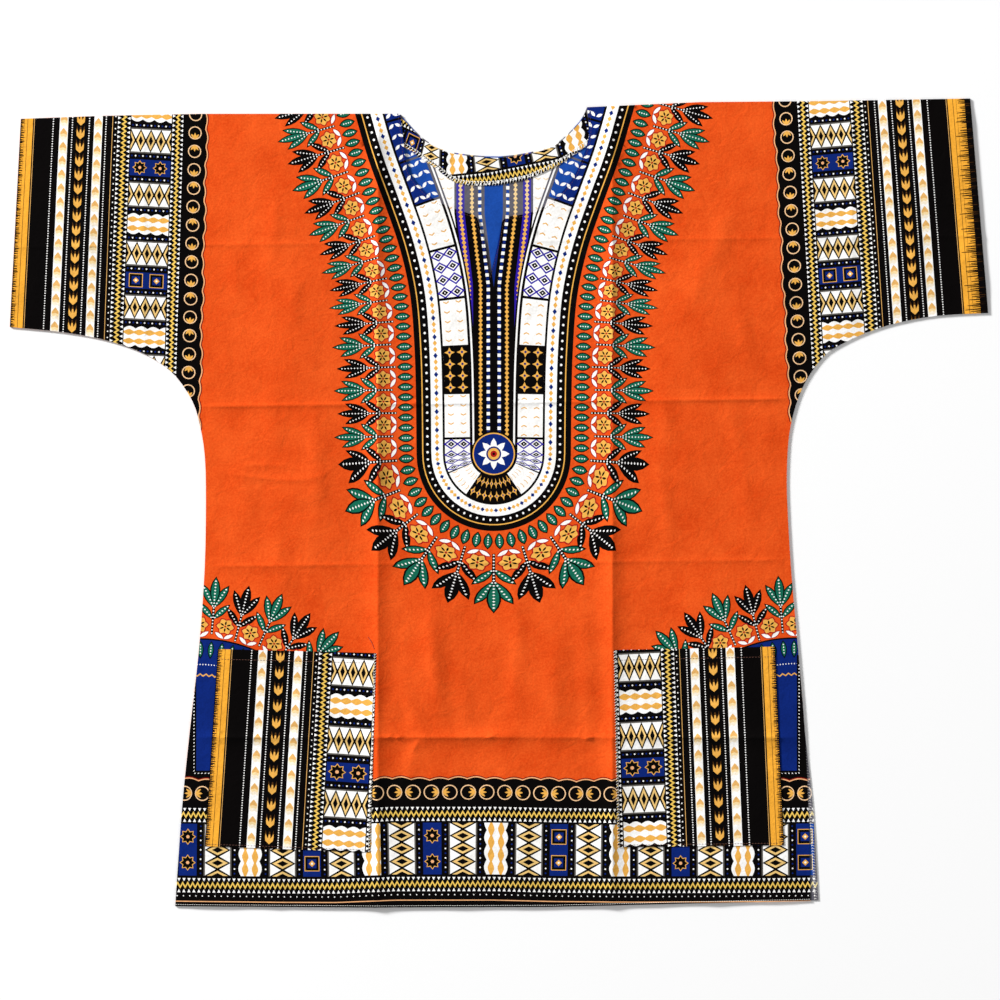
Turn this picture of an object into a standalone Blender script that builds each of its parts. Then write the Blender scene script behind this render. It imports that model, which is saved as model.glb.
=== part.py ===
"""Dashiki shirt, laid out flat on a surface.

One cloth is folded at the shoulders, so the sleeves are grown on to the front and the back.
A facing lies inside the back neck, and two patch pockets lie on the front.

X runs across the shirt, Y towards the shoulders and Z up from the surface that it lies on.
Places in the tables are in millimetres from the middle of the laid-out shirt.
"""

from collections import namedtuple
from math import exp, hypot

import bmesh
import bpy

MM = 0.001

# Layers
WALL = 1.0              # thickness of each layer of cloth
GAP = 0.3               # space between two layers
BACK_LEVEL = 0.0
FACING_LEVEL = BACK_LEVEL + WALL + GAP
FRONT_LEVEL = BACK_LEVEL + WALL + GAP
POCKET_LEVEL = FRONT_LEVEL + WALL + GAP

# Extent of the laid-out shirt
HALF_SPAN = 557.5       # from the middle to a cuff's lower corner
HALF_LENGTH = 461.0     # from the middle to the shoulder or the hem

Spot = namedtuple("Spot", "x y")
PressedFold = namedtuple("PressedFold", "place height reach")
Swell = namedtuple("Swell", "x y half_width half_length height")

# The two side seams, from the cuff under the sleeve and down the side to the hem
LEFT_SIDE = (
    Spot(-HALF_SPAN, 200.6),
    Spot(-499.3, 195.0),
    Spot(-453.7, 187.0),
    Spot(-417.0, 175.6),
    Spot(-390.0, 162.0),
    Spot(-368.0, 144.0),
    Spot(-349.5, 116.3),
    Spot(-340.9, 88.9),
    Spot(-335.2, 52.4),
    Spot(-334.0, 0.0),
    Spot(-335.5, -76.4),
    Spot(-342.0, -167.6),
    Spot(-352.3, -258.8),
    Spot(-361.4, -350.0),
    Spot(-369.0, -459.5),
)
RIGHT_SIDE = (
    Spot(HALF_SPAN, 216.6),
    Spot(500.0, 213.5),
    Spot(455.0, 205.5),
    Spot(420.7, 194.9),
    Spot(388.7, 180.1),
    Spot(369.0, 166.0),
    Spot(350.0, 139.5),
    Spot(338.5, 112.0),
    Spot(331.0, 80.0),
    Spot(328.3, 45.0),
    Spot(328.3, 5.0),
    Spot(332.9, -76.4),
    Spot(340.9, -167.6),
    Spot(348.5, -258.8),
)
# Below the right side seam the shirt is slit, and the back stands out past the front
RIGHT_SLIT_FRONT = (Spot(352.5, -350.0), Spot(355.0, -453.5))
RIGHT_SLIT_BACK = (Spot(358.0, -350.0), Spot(364.0, -452.8))

HEM = (Spot(-150.0, -HALF_LENGTH), Spot(60.0, -460.3), Spot(200.0, -456.8))

LEFT_CUFF_TOP = Spot(-544.9, 437.8)
RIGHT_CUFF_TOP = Spot(537.0, HALF_LENGTH)
LEFT_SHOULDER = (Spot(-453.7, 441.2), Spot(-340.9, 443.5), Spot(-225.0, 443.6))
RIGHT_SHOULDER = (Spot(229.1, 456.9), Spot(365.9, 458.0))
LEFT_NECK_CORNER = Spot(-112.9, 443.5)
RIGHT_NECK_CORNER = Spot(100.3, 451.0)

# The front neck is a deep scoop with a short slit at its lowest point
FRONT_NECK_LEFT = (
    LEFT_NECK_CORNER,
    Spot(-109.4, 418.0),
    Spot(-106.0, 388.7),
    Spot(-98.6, 369.9),
    Spot(-77.0, 348.0),
    Spot(-53.6, 336.3),
    Spot(-30.8, 328.9),
)
NECK_SLIT = (
    Spot(-25.1, 324.9),
    Spot(-14.8, 291.3),
    Spot(-9.7, 258.8),
    Spot(-0.5, 299.8),
    Spot(3.1, 319.8),
)
FRONT_NECK_RIGHT = (
    Spot(8.0, 326.0),
    Spot(36.5, 331.0),
    Spot(60.4, 343.5),
    Spot(79.8, 364.2),
    Spot(91.2, 384.2),
    Spot(100.4, 408.0),
    Spot(102.6, 426.4),
    RIGHT_NECK_CORNER,
)
BACK_NECK = (
    LEFT_NECK_CORNER,
    Spot(-90.1, 418.4),
    Spot(-67.3, 404.7),
    Spot(-44.5, 398.2),
    Spot(1.1, 395.0),
    Spot(46.7, 402.4),
    Spot(69.5, 412.7),
    Spot(92.3, 435.5),
    RIGHT_NECK_CORNER,
)
FACING_LOWER_EDGE = (
    Spot(124.0, 426.0),
    Spot(99.2, 407.0),
    Spot(69.5, 386.5),
    Spot(44.5, 373.9),
    Spot(23.9, 367.1),
    Spot(-10.0, 362.0),
    Spot(-47.9, 364.8),
    Spot(-75.0, 383.5),
    Spot(-106.6, 404.7),
    Spot(-132.0, 418.0),
)
FACING_SEAM = 1.5       # the facing starts this far inside the back neck's edge
FACING_SHOULDER = 4.0   # and ends this far below the shoulder fold

# Corners of the patch pockets, clockwise from the top left
LEFT_POCKET = (Spot(-320.3, -166.4), Spot(-140.2, -171.0), Spot(-147.1, -397.9), Spot(-335.2, -391.0))
RIGHT_POCKET = (Spot(131.1, -167.6), Spot(314.6, -163.6), Spot(324.9, -389.9), Spot(135.7, -392.2))

# Folds that the packed shirt was pressed into stand up as low ridges
UPRIGHT_FOLDS = (
    PressedFold(-405.0, 1.6, 20.0),
    PressedFold(-138.0, 4.5, 24.0),
    PressedFold(132.0, 4.5, 24.0),
    PressedFold(402.0, 1.6, 20.0),
)
LEVEL_FOLDS = (
    PressedFold(298.0, 1.2, 16.0),
    PressedFold(112.0, 3.2, 18.0),
    PressedFold(-73.0, 1.8, 16.0),
    PressedFold(-267.0, 3.2, 18.0),
)
# Between the folds the front is loose and swells up softly
SWELLS = (
    Swell(-235.0, 210.0, 45.0, 120.0, 2.4),
    Swell(232.0, 205.0, 50.0, 115.0, 2.6),
    Swell(-215.0, 20.0, 48.0, 85.0, 2.8),
    Swell(190.0, 25.0, 45.0, 90.0, 2.4),
    Swell(-262.0, -135.0, 38.0, 60.0, 1.8),
    Swell(-80.0, -190.0, 36.0, 110.0, 2.4),
    Swell(55.0, -205.0, 40.0, 105.0, 2.0),
    Swell(240.0, -120.0, 45.0, 55.0, 2.0),
    Swell(-10.0, -385.0, 55.0, 50.0, 2.2),
    Swell(-455.0, 330.0, 40.0, 80.0, 1.8),
    Swell(462.0, 335.0, 42.0, 80.0, 1.8),
)
SEAM_FADE = 34.0        # the front settles on to the back over this distance from a seam
NECK_PLATEAU = Spot(150.0, 350.0)   # the front lies over the facing inside this half-width, above this height
NECK_SLOPE = 80.0

LATTICE = 44.0          # widest step between two lines of the cloth's lattice
FOLD_STEPS = (-1.0, -0.36, 0.0, 0.36, 1.0)      # lattice lines across a pressed fold, in reaches
LATTICE_MARGIN = 8.0
CUTTER_TOP = 40.0

ORANGE_PRINT = (0.78, 0.12, 0.018)
BORDER_PRINT = (0.05, 0.035, 0.03)
CLOTH_ROUGHNESS = 0.85


def curve_through(spots, steps=3):
    """Points along a smooth curve through the given ones, both ends included."""
    ends = [spots[0], *spots, spots[-1]]
    path = []
    for before, start, end, after in zip(ends, ends[1:], ends[2:], ends[3:]):
        for step in range(steps):
            t = step / steps
            path.append(Spot(*(
                0.5 * (2 * b + (c - a) * t + (2 * a - 5 * b + 4 * c - d) * t ** 2
                       + (3 * b - a - 3 * c + d) * t ** 3)
                for a, b, c, d in zip(before, start, end, after))))
    path.append(spots[-1])
    return path


def panel_outline(neck, right_slit):
    """Once round a panel: left shoulder, cuff, side, hem, right side, cuff, shoulder and neck."""
    left = [*reversed(LEFT_SHOULDER), LEFT_CUFF_TOP, *curve_through(LEFT_SIDE)]
    right = curve_through([*RIGHT_SIDE, *right_slit])
    return [*left, *HEM, *reversed(right), RIGHT_CUFF_TOP, *reversed(RIGHT_SHOULDER), *neck]


def front_outline():
    neck = [*curve_through(FRONT_NECK_LEFT), *NECK_SLIT, *curve_through(FRONT_NECK_RIGHT)]
    return panel_outline([*reversed(neck)], RIGHT_SLIT_FRONT)


def back_outline():
    return panel_outline([*reversed(curve_through(BACK_NECK))], RIGHT_SLIT_BACK)


def facing_outline():
    """A strip along the back neck, from one shoulder fold to the other."""
    neck = [Spot(spot.x, spot.y - FACING_SEAM) for spot in curve_through(BACK_NECK)[1:-1]]
    left_end = [Spot(LEFT_NECK_CORNER.x - 18.0, LEFT_NECK_CORNER.y - FACING_SHOULDER),
                Spot(LEFT_NECK_CORNER.x, LEFT_NECK_CORNER.y - FACING_SHOULDER)]
    right_end = [Spot(RIGHT_NECK_CORNER.x, RIGHT_NECK_CORNER.y - FACING_SHOULDER),
                 Spot(RIGHT_NECK_CORNER.x + 18.0, RIGHT_NECK_CORNER.y - FACING_SHOULDER)]
    return [*left_end, *neck, *right_end, *curve_through(FACING_LOWER_EDGE)]


def seam_points():
    """Points along the side seams and the shoulder folds, which hold front and back together."""
    left = [LEFT_NECK_CORNER, *reversed(LEFT_SHOULDER), LEFT_CUFF_TOP]
    right = [RIGHT_NECK_CORNER, *RIGHT_SHOULDER, RIGHT_CUFF_TOP]
    return [*curve_through(LEFT_SIDE, 6), *curve_through([*RIGHT_SIDE, *RIGHT_SLIT_FRONT], 6),
            *curve_through(left, 10), *curve_through(right, 10)]


SEAM_POINTS = seam_points()


def ease(value):
    """0 to 1 with a level start and end."""
    value = min(max(value, 0.0), 1.0)
    return value * value * (3.0 - 2.0 * value)


def fold_height(distance, fold):
    """Height of a pressed fold at a distance from its line: sharp on top, with hollow flanks."""
    return fold.height * exp(-2.2 * abs(distance) / fold.reach)


def looseness(x, y):
    """Height of the loose front over its resting place at a spot."""
    height = sum(fold_height(x - fold.place, fold) for fold in UPRIGHT_FOLDS)
    height += sum(fold_height(y - fold.place, fold) for fold in LEVEL_FOLDS)
    for swell in SWELLS:
        across = (x - swell.x) / swell.half_width
        along = (y - swell.y) / swell.half_length
        height += swell.height * exp(-across ** 2 - along ** 2)
    return height


def lift(x, y):
    """Height of the front over the back at a spot."""
    from_seam = min(hypot(x - spot.x, y - spot.y) for spot in SEAM_POINTS)
    from_facing = hypot(max(abs(x) - NECK_PLATEAU.x, 0.0), max(NECK_PLATEAU.y - y, 0.0))
    over_facing = (WALL + GAP) * (1.0 - ease(from_facing / NECK_SLOPE))
    return looseness(x, y) * ease(from_seam / SEAM_FADE) + over_facing


def lattice_lines(half_extent, folds):
    """Places of the lattice's lines along one axis, close together across each pressed fold."""
    edge = half_extent + LATTICE_MARGIN
    close = [fold.place + step * fold.reach for fold in folds for step in FOLD_STEPS]
    fixed = sorted([-edge, *close, edge])
    lines = [fixed[0]]
    for start, end in zip(fixed, fixed[1:]):
        steps = max(1, round((end - start) / LATTICE))
        lines.extend(start + (end - start) * (step + 1) / steps for step in range(steps))
    return lines


def new_collection(name):
    collection = bpy.data.collections.new(name)
    bpy.context.scene.collection.children.link(collection)
    return collection


def cloth_material(name, colour):
    material = bpy.data.materials.new(name)
    material.use_nodes = True
    shader = material.node_tree.nodes["Principled BSDF"]
    shader.inputs["Base Color"].default_value = (*colour, 1.0)
    shader.inputs["Roughness"].default_value = CLOTH_ROUGHNESS
    shader.inputs["Metallic"].default_value = 0.0
    return material


def object_from_bmesh(bm, name, collection):
    mesh = bpy.data.meshes.new(name)
    bm.to_mesh(mesh)
    bm.free()
    obj = bpy.data.objects.new(name, mesh)
    collection.objects.link(obj)
    return obj


def plate(name, outline, low, high, collection):
    """A flat plate with the given outline, between two heights."""
    curve = bpy.data.curves.new(name, "CURVE")
    curve.dimensions = "2D"
    curve.fill_mode = "BOTH"
    curve.extrude = (high - low) / 2 * MM
    spline = curve.splines.new("POLY")
    spline.points.add(len(outline) - 1)
    for point, spot in zip(spline.points, outline):
        point.co = (spot.x * MM, spot.y * MM, 0.0, 1.0)
    spline.use_cyclic_u = True
    guide = bpy.data.objects.new(name + "_curve", curve)
    collection.objects.link(guide)
    bpy.context.view_layer.update()
    evaluated = guide.evaluated_get(bpy.context.evaluated_depsgraph_get())
    bm = bmesh.new()
    bm.from_mesh(bpy.data.meshes.new_from_object(evaluated))
    bpy.data.objects.remove(guide)
    bmesh.ops.remove_doubles(bm, verts=bm.verts, dist=0.00005)
    bmesh.ops.translate(bm, verts=bm.verts, vec=(0.0, 0.0, (low + high) / 2 * MM))
    bmesh.ops.recalc_face_normals(bm, faces=bm.faces)
    return object_from_bmesh(bm, name, collection)


def loose_sheet(name, level, collection):
    """A wall of cloth over the whole shirt with its folds, starting at a level."""
    columns = lattice_lines(HALF_SPAN, UPRIGHT_FOLDS)
    rows = lattice_lines(HALF_LENGTH, LEVEL_FOLDS)
    bm = bmesh.new()
    bmesh.ops.create_grid(bm, x_segments=len(columns) - 1, y_segments=len(rows) - 1, size=1.0)
    for vert in bm.verts:
        x = columns[round((vert.co.x + 1.0) / 2.0 * (len(columns) - 1))]
        y = rows[round((vert.co.y + 1.0) / 2.0 * (len(rows) - 1))]
        vert.co = (x * MM, y * MM, (level + lift(x, y)) * MM)
    bmesh.ops.triangulate(bm, faces=bm.faces)
    raised = bmesh.ops.extrude_face_region(bm, geom=bm.faces[:], use_keep_orig=True)
    top = [item for item in raised["geom"] if isinstance(item, bmesh.types.BMVert)]
    bmesh.ops.translate(bm, verts=top, vec=(0.0, 0.0, WALL * MM))
    bmesh.ops.recalc_face_normals(bm, faces=bm.faces)
    return object_from_bmesh(bm, name, collection)


def cut_from_sheet(name, outline, level, shirt, cutters):
    """A piece cut to its outline from a sheet that has the shirt's folds."""
    piece = loose_sheet(name, level, shirt)
    cutter = plate(name + "_cutter", outline, -CUTTER_TOP, CUTTER_TOP, cutters)
    cutter.hide_render = True
    cutter.display_type = "WIRE"
    cut = piece.modifiers.new("cut", "BOOLEAN")
    cut.operation = "INTERSECT"
    cut.solver = "EXACT"
    cut.object = cutter
    return piece


def make_back(shirt):
    return plate("back", back_outline(), BACK_LEVEL, BACK_LEVEL + WALL, shirt)


def make_back_neck_facing(shirt):
    return plate("back_neck_facing", facing_outline(), FACING_LEVEL, FACING_LEVEL + WALL, shirt)


def make_front(shirt, cutters):
    return cut_from_sheet("front", front_outline(), FRONT_LEVEL, shirt, cutters)


def make_pockets(shirt, cutters):
    corners = {"pocket_left": LEFT_POCKET, "pocket_right": RIGHT_POCKET}
    return [cut_from_sheet(name, spots, POCKET_LEVEL, shirt, cutters) for name, spots in corners.items()]


def main():
    for obj in list(bpy.data.objects):
        bpy.data.objects.remove(obj, do_unlink=True)
    shirt = new_collection("dashiki_shirt")
    cutters = new_collection("cutters")
    panels = [make_back(shirt), make_front(shirt, cutters)]
    trims = [make_back_neck_facing(shirt), *make_pockets(shirt, cutters)]
    for piece in panels:
        piece.data.materials.append(cloth_material(piece.name + "_cotton", ORANGE_PRINT))
    for piece in trims:
        piece.data.materials.append(cloth_material(piece.name + "_cotton", BORDER_PRINT))


main()
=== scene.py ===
"""Looks of a dashiki shirt laid out flat: its printed cotton, its pressed folds and its sewing.

Places and sizes are in millimetres from the middle of the laid-out shirt, in the frame's own
directions: X across the shirt, Y towards the shoulders and Z up from the floor. MM makes metres.
"""

import math
from collections import namedtuple

import bpy
import numpy as np
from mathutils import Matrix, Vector
from mathutils.geometry import delaunay_2d_cdt


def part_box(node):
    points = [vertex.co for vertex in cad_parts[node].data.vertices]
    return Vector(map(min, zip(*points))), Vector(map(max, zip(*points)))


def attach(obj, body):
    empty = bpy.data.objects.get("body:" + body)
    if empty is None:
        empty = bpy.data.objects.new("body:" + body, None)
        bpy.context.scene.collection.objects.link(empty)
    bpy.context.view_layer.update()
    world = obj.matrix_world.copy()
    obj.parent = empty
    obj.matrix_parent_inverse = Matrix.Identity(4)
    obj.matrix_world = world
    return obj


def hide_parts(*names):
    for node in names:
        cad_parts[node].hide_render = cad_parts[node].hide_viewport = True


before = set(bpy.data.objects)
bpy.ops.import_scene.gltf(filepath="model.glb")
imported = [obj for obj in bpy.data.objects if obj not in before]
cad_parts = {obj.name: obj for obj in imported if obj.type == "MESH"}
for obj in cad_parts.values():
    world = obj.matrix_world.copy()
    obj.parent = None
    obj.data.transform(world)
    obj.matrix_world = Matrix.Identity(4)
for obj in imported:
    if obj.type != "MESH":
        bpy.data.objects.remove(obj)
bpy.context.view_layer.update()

MM = 0.001

# ---------------- the cut of the shirt

Spot = namedtuple("Spot", "x y")


def spots_at(*rows):
    return [Spot(*row) for row in rows]


HALF_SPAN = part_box("front")[1].x / MM
HALF_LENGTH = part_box("front")[1].y / MM

LEFT_SIDE = spots_at(
    (-HALF_SPAN, 200.6), (-499.3, 195.0), (-453.7, 187.0), (-417.0, 175.6), (-390.0, 162.0),
    (-368.0, 144.0), (-349.5, 116.3), (-340.9, 88.9), (-335.2, 52.4), (-334.0, 0.0),
    (-335.5, -76.4), (-342.0, -167.6), (-352.3, -258.8), (-361.4, -350.0), (-369.0, -459.5))
RIGHT_SIDE = spots_at(
    (HALF_SPAN, 216.6), (500.0, 213.5), (455.0, 205.5), (420.7, 194.9), (388.7, 180.1),
    (369.0, 166.0), (350.0, 139.5), (338.5, 112.0), (331.0, 80.0), (328.3, 45.0),
    (328.3, 5.0), (332.9, -76.4), (340.9, -167.6), (348.5, -258.8))
RIGHT_SLIT_FRONT = spots_at((352.5, -350.0), (355.0, -453.5))
RIGHT_SLIT_BACK = spots_at((358.0, -350.0), (364.0, -452.8))
HEM = spots_at((-150.0, -HALF_LENGTH), (60.0, -460.3), (200.0, -456.8))

LEFT_CUFF_TOP = Spot(-544.9, 437.8)
RIGHT_CUFF_TOP = Spot(537.0, HALF_LENGTH)
LEFT_SHOULDER = spots_at((-453.7, 441.2), (-340.9, 443.5), (-225.0, 443.6))
RIGHT_SHOULDER = spots_at((229.1, 456.9), (365.9, 458.0))
LEFT_NECK_CORNER = Spot(-112.9, 443.5)
RIGHT_NECK_CORNER = Spot(100.3, 451.0)

FRONT_NECK_LEFT = spots_at(
    LEFT_NECK_CORNER, (-109.4, 418.0), (-106.0, 388.7), (-98.6, 369.9), (-77.0, 348.0),
    (-53.6, 336.3), (-30.8, 328.9))
NECK_SLIT = spots_at((-25.1, 324.9), (-14.8, 291.3), (-9.7, 258.8), (-0.5, 299.8), (3.1, 319.8))
FRONT_NECK_RIGHT = spots_at(
    (8.0, 326.0), (36.5, 331.0), (60.4, 343.5), (79.8, 364.2), (91.2, 384.2),
    (100.4, 408.0), (102.6, 426.4), RIGHT_NECK_CORNER)
BACK_NECK = spots_at(
    LEFT_NECK_CORNER, (-90.1, 418.4), (-67.3, 404.7), (-44.5, 398.2), (1.1, 395.0),
    (46.7, 402.4), (69.5, 412.7), (92.3, 435.5), RIGHT_NECK_CORNER)
FACING_LOWER_EDGE = spots_at(
    (124.0, 426.0), (99.2, 407.0), (69.5, 386.5), (44.5, 373.9), (23.9, 367.1),
    (-10.0, 362.0), (-47.9, 364.8), (-75.0, 383.5), (-106.6, 404.7), (-132.0, 418.0))
FACING_SEAM = 1.5       # from the back's neck edge to the facing's
FACING_SHOULDER = 4.0   # the same at the shoulders
FACING_END = 18.0       # length of its two ends there

LEFT_POCKET = spots_at((-320.3, -166.4), (-335.2, -391.0), (-147.1, -397.9), (-140.2, -171.0))
RIGHT_POCKET = spots_at((131.1, -167.6), (135.7, -392.2), (324.9, -389.9), (314.6, -163.6))


def through(spots, steps=3):
    """Points along a smooth curve through the given ones, both ends included."""
    ends = [spots[0], *spots, spots[-1]]
    path = []
    for stretch in zip(ends, ends[1:], ends[2:], ends[3:]):
        for step in range(steps):
            t = step / steps
            path.append(Spot(*(
                0.5 * (2 * b + (c - a) * t + (2 * a - 5 * b + 4 * c - d) * t ** 2
                       + (3 * b - a - 3 * c + d) * t ** 3)
                for a, b, c, d in zip(*stretch))))
    return [*path, spots[-1]]


def panel_outline(neck, right_slit):
    left = [*reversed(LEFT_SHOULDER), LEFT_CUFF_TOP, *through(LEFT_SIDE)]
    right = through([*RIGHT_SIDE, *right_slit])
    return [*left, *HEM, *reversed(right), RIGHT_CUFF_TOP, *reversed(RIGHT_SHOULDER), *reversed(neck)]


def front_neck():
    """The front's neck edge with its slit, from the left shoulder to the right one."""
    return [*through(FRONT_NECK_LEFT), *NECK_SLIT, *through(FRONT_NECK_RIGHT)]


def facing_outline():
    neck = [Spot(spot.x, spot.y - FACING_SEAM) for spot in through(BACK_NECK)[1:-1]]
    left, right = [[Spot(corner.x + reach, corner.y - FACING_SHOULDER) for reach in reaches]
                   for corner, reaches in ((LEFT_NECK_CORNER, (-FACING_END, 0.0)),
                                           (RIGHT_NECK_CORNER, (0.0, FACING_END)))]
    return [*left, *neck, *right, *through(FACING_LOWER_EDGE)][::-1]


# ---------------- how the cloth lies

PressedFold = namedtuple("PressedFold", "place height reach tilt", defaults=(0.0,))
Swell = namedtuple("Swell", "x y half_width half_length height")
Crease = namedtuple("Crease", "x y length width turn height")
SharpLine = namedtuple("SharpLine", "height path")

CLOTH = 0.7             # thickness of the shell that stands for the thin cotton
AIR = 0.2               # space between two layers
BACK_LEVEL = 0.0
FACING_LEVEL = BACK_LEVEL + CLOTH + AIR
FRONT_LEVEL = BACK_LEVEL + CLOTH + AIR
POCKET_LEVEL = FRONT_LEVEL + CLOTH + AIR
REST = 0.5              # least height of the loose front, which its troughs are pressed into

UPRIGHT_FOLDS = [PressedFold(*row) for row in (
    (-405.0, 1.6, 20.0), (-138.0, 4.8, 24.0), (129.0, 4.6, 22.0), (402.0, 1.6, 20.0))]
LEVEL_FOLDS = [PressedFold(*row) for row in (
    (298.0, 0.6, 3.5, 0.012), (114.4, 1.3, 3.6, 0.013), (-68.4, 0.8, 3.6, 0.011), (-267.0, 2.5, 10.0))]
FOLD_CREST = 0.5        # roundness of a pressed fold's top
FOLD_FALL = 2.2         # how steeply its flanks fall, the larger the steeper
HEM_FADE = 70.0         # length over which the upright folds sink towards the hem
HEM_SHARE = 0.45        # of their height that is left there
SWELLS = [Swell(*row) for row in (
    (-235, 210, 45, 120, 2.4), (232, 205, 50, 115, 2.6), (-215, 20, 48, 85, 2.8),
    (190, 25, 45, 90, 2.4), (-262, -135, 38, 60, 1.8), (-80, -190, 36, 110, 2.4),
    (55, -205, 40, 105, 2.0), (240, -120, 45, 55, 2.0), (-10, -385, 55, 50, 2.2),
    (-455, 330, 40, 80, 1.8), (462, 335, 42, 80, 1.8))]
# Soft ridges and, where the height is below zero, troughs that the cloth keeps from handling
CREASES = [Crease(*row) for row in (
    (-256, 318, 70, 7, 82, 1.4), (-300, 262, 60, 8, 86, 1.0), (-234, 228, 48, 7, 78, 1.5),
    (-208, 42, 110, 6.5, 88, 1.6), (-222, -10, 62, 6, 6, -0.9), (-258, 96, 60, 9, 90, 1.4),
    (-290, 10, 80, 10, 84, 1.0), (-248, -70, 90, 9, 92, 1.2), (190, 96, 60, 8, 92, 1.5),
    (189, 0, 112, 5.5, 95, 1.7), (252, 300, 60, 8, 70, 1.4), (226, 250, 90, 9, 62, 1.0),
    (280, 190, 70, 9, 98, 1.2), (270, 76, 64, 6, 95, 1.3), (281, 6, 66, 6, 94, 1.2),
    (-74, -166, 110, 8, 90, 1.8), (-97, -240, 74, 7, 108, 2.3), (-121, -240, 44, 7, 80, 1.2),
    (-120, -260, 22, 5, 152, 1.4), (-104, -256, 20, 5, 32, 1.2), (-100, -298, 52, 6, 66, 1.9),
    (8, -262, 28, 5, 98, 1.2), (100, -262, 28, 5, 70, 1.4), (-264, -72, 28, 5, 148, 1.2),
    (-240, -84, 24, 5, 30, 1.1), (-212, -96, 30, 5, 118, 1.1), (-72, -196, 96, 7, 96, 1.6),
    (18, -210, 84, 6, 88, 1.5), (100, -214, 76, 6, 90, 1.6), (-40, -225, 80, 9, 88, 1.2),
    (22, -150, 100, 8, 92, 1.4), (64, -215, 90, 9, 86, 1.2), (100, -160, 80, 7, 94, 1.4),
    (12, -262, 120, 5, 2, 1.2), (-470, 300, 120, 9, 86, 0.9), (-430, 360, 90, 9, 94, 0.8),
    (470, 310, 110, 9, 95, 0.9), (432, 300, 90, 9, 84, 0.8), (-232, -300, 120, 10, 86, 1.0),
    (228, -290, 130, 10, 94, 1.0), (-250, -430, 60, 8, 80, 1.0), (240, -430, 60, 8, 98, 1.0))]
SHARP_LINES = [SharpLine(*row) for row in (
    (0.8, ((-323.9, 36.2), (-295.5, 31.5), (-262.0, 27.6), (-238.8, 25.8), (-216.1, 27.2), (-185.9, 37.2))),
    (0.6, ((-297.4, 42.5), (-264.0, 43.0), (-231.3, 42.5))),
    (0.9, ((-128.8, -269.0), (-122.0, -263.6))),
    (1.0, ((-117.6, -270.0), (-112.0, -263.0))),
    (1.0, ((-101.0, -286.0), (-95.0, -276.0), (-92.0, -268.5))),
    (0.9, ((-12.0, -268.5), (-2.6, -261.0))),
    (0.9, ((98.4, -270.2), (109.0, -264.4))))]
LINE_WIDTH = 2.0        # of a sharp line
SEAM_FADE = 34.0        # width beside a seam where the front lies down on the back
NECK_PLATEAU = Spot(150.0, 350.0)   # the front is level over the facing, up to these
NECK_SLOPE = 80.0       # width over which it comes down from there

SEAMS = (               # the side seams and shoulder folds
    through(LEFT_SIDE, 4),
    through([*RIGHT_SIDE, *RIGHT_SLIT_FRONT], 4),
    [LEFT_NECK_CORNER, *reversed(LEFT_SHOULDER), LEFT_CUFF_TOP],
    [RIGHT_NECK_CORNER, *RIGHT_SHOULDER, RIGHT_CUFF_TOP],
)

OUTLINE_STEP = 5.0      # longest edge along a panel's outline
PRINT_STEP = 9.0        # longest edge round a printed shape
GUIDE_STEP = 9.0        # longest edge along a pressed fold
GUIDES = (-5.0, -1.6, 0.0, 1.6, 5.0)    # where lines of points run, across a pressed fold
FINE_STEP = 8.0         # distance between the cloth's own points where it shows
LINING_STEP = 10.5      # the same on a side that is hidden, or all but hidden
FLAT_STEP = 40.0        # the same on the flat underside
CLEARANCE = 2.0         # no lattice point is nearer than this to a print's edge
EDGE_ROOM = 3.2         # no guide comes nearer than this to a point of the outline


def marks_along(points):
    """How far along a path each of its points lies."""
    steps = np.diff(points, axis=0)
    return np.concatenate([[0.0], np.cumsum(np.hypot(steps[:, 0], steps[:, 1]))])


def nearest_on(path, x, y):
    """Distance of each spot from a path, and the share of the path up to its nearest place."""
    path = np.array(path)
    marks = marks_along(path)
    nearest, share = np.full(np.shape(x), np.inf), np.zeros(np.shape(x))
    for (x0, y0), (dx, dy), start, end in zip(path, np.diff(path, axis=0), marks, marks[1:]):
        part = np.clip(((x - x0) * dx + (y - y0) * dy) / (dx * dx + dy * dy), 0.0, 1.0)
        away = np.hypot(x - x0 - part * dx, y - y0 - part * dy)
        share = np.where(away < nearest, (start + part * (end - start)) / marks[-1], share)
        nearest = np.minimum(nearest, away)
    return nearest, share


def ease(value):
    """0 to 1 with a level start and end."""
    value = np.clip(value, 0.0, 1.0)
    return value * value * (3.0 - 2.0 * value)


def fold_height(distance, along, fold):
    """A pressed fold: nearly sharp on top, hollow flanks, and a little uneven along its length."""
    rounded = np.sqrt(distance ** 2 + FOLD_CREST ** 2) - FOLD_CREST
    uneven = 1.0 + 0.14 * np.sin(along / 47.0 + fold.place) + 0.08 * np.sin(along / 19.0 - fold.place)
    return fold.height * uneven * np.exp(-FOLD_FALL * rounded / fold.reach)


def crease_height(x, y, crease):
    """A soft ridge that fades at its ends and bends a little."""
    turn = math.radians(crease.turn)
    along = (x - crease.x) * math.cos(turn) + (y - crease.y) * math.sin(turn)
    across = (y - crease.y) * math.cos(turn) - (x - crease.x) * math.sin(turn)
    bend = crease.width * 0.35 * np.sin(along / crease.length * 5.0)
    across = (across - bend) / crease.width
    return crease.height * np.exp(-(along / crease.length * 2.0) ** 2 - across ** 2)


def handling(x, y):
    """Low uneven waves all over, as in cotton that was packed and shaken out."""
    return (0.16 * np.sin(x / 17.0 + 1.9 * np.sin(y / 61.0)) * np.sin(y / 83.0 + x / 140.0)
            + 0.13 * np.sin(x / 11.5 - y / 120.0 + 1.3 * np.sin(y / 37.0 + 0.7))
            + 0.10 * np.sin(y / 13.0 + 2.1 * np.sin(x / 48.0 + 1.1))
            + 0.07 * np.sin((x + y) / 9.0 + 1.7 * np.sin((x - y) / 31.0)))


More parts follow.
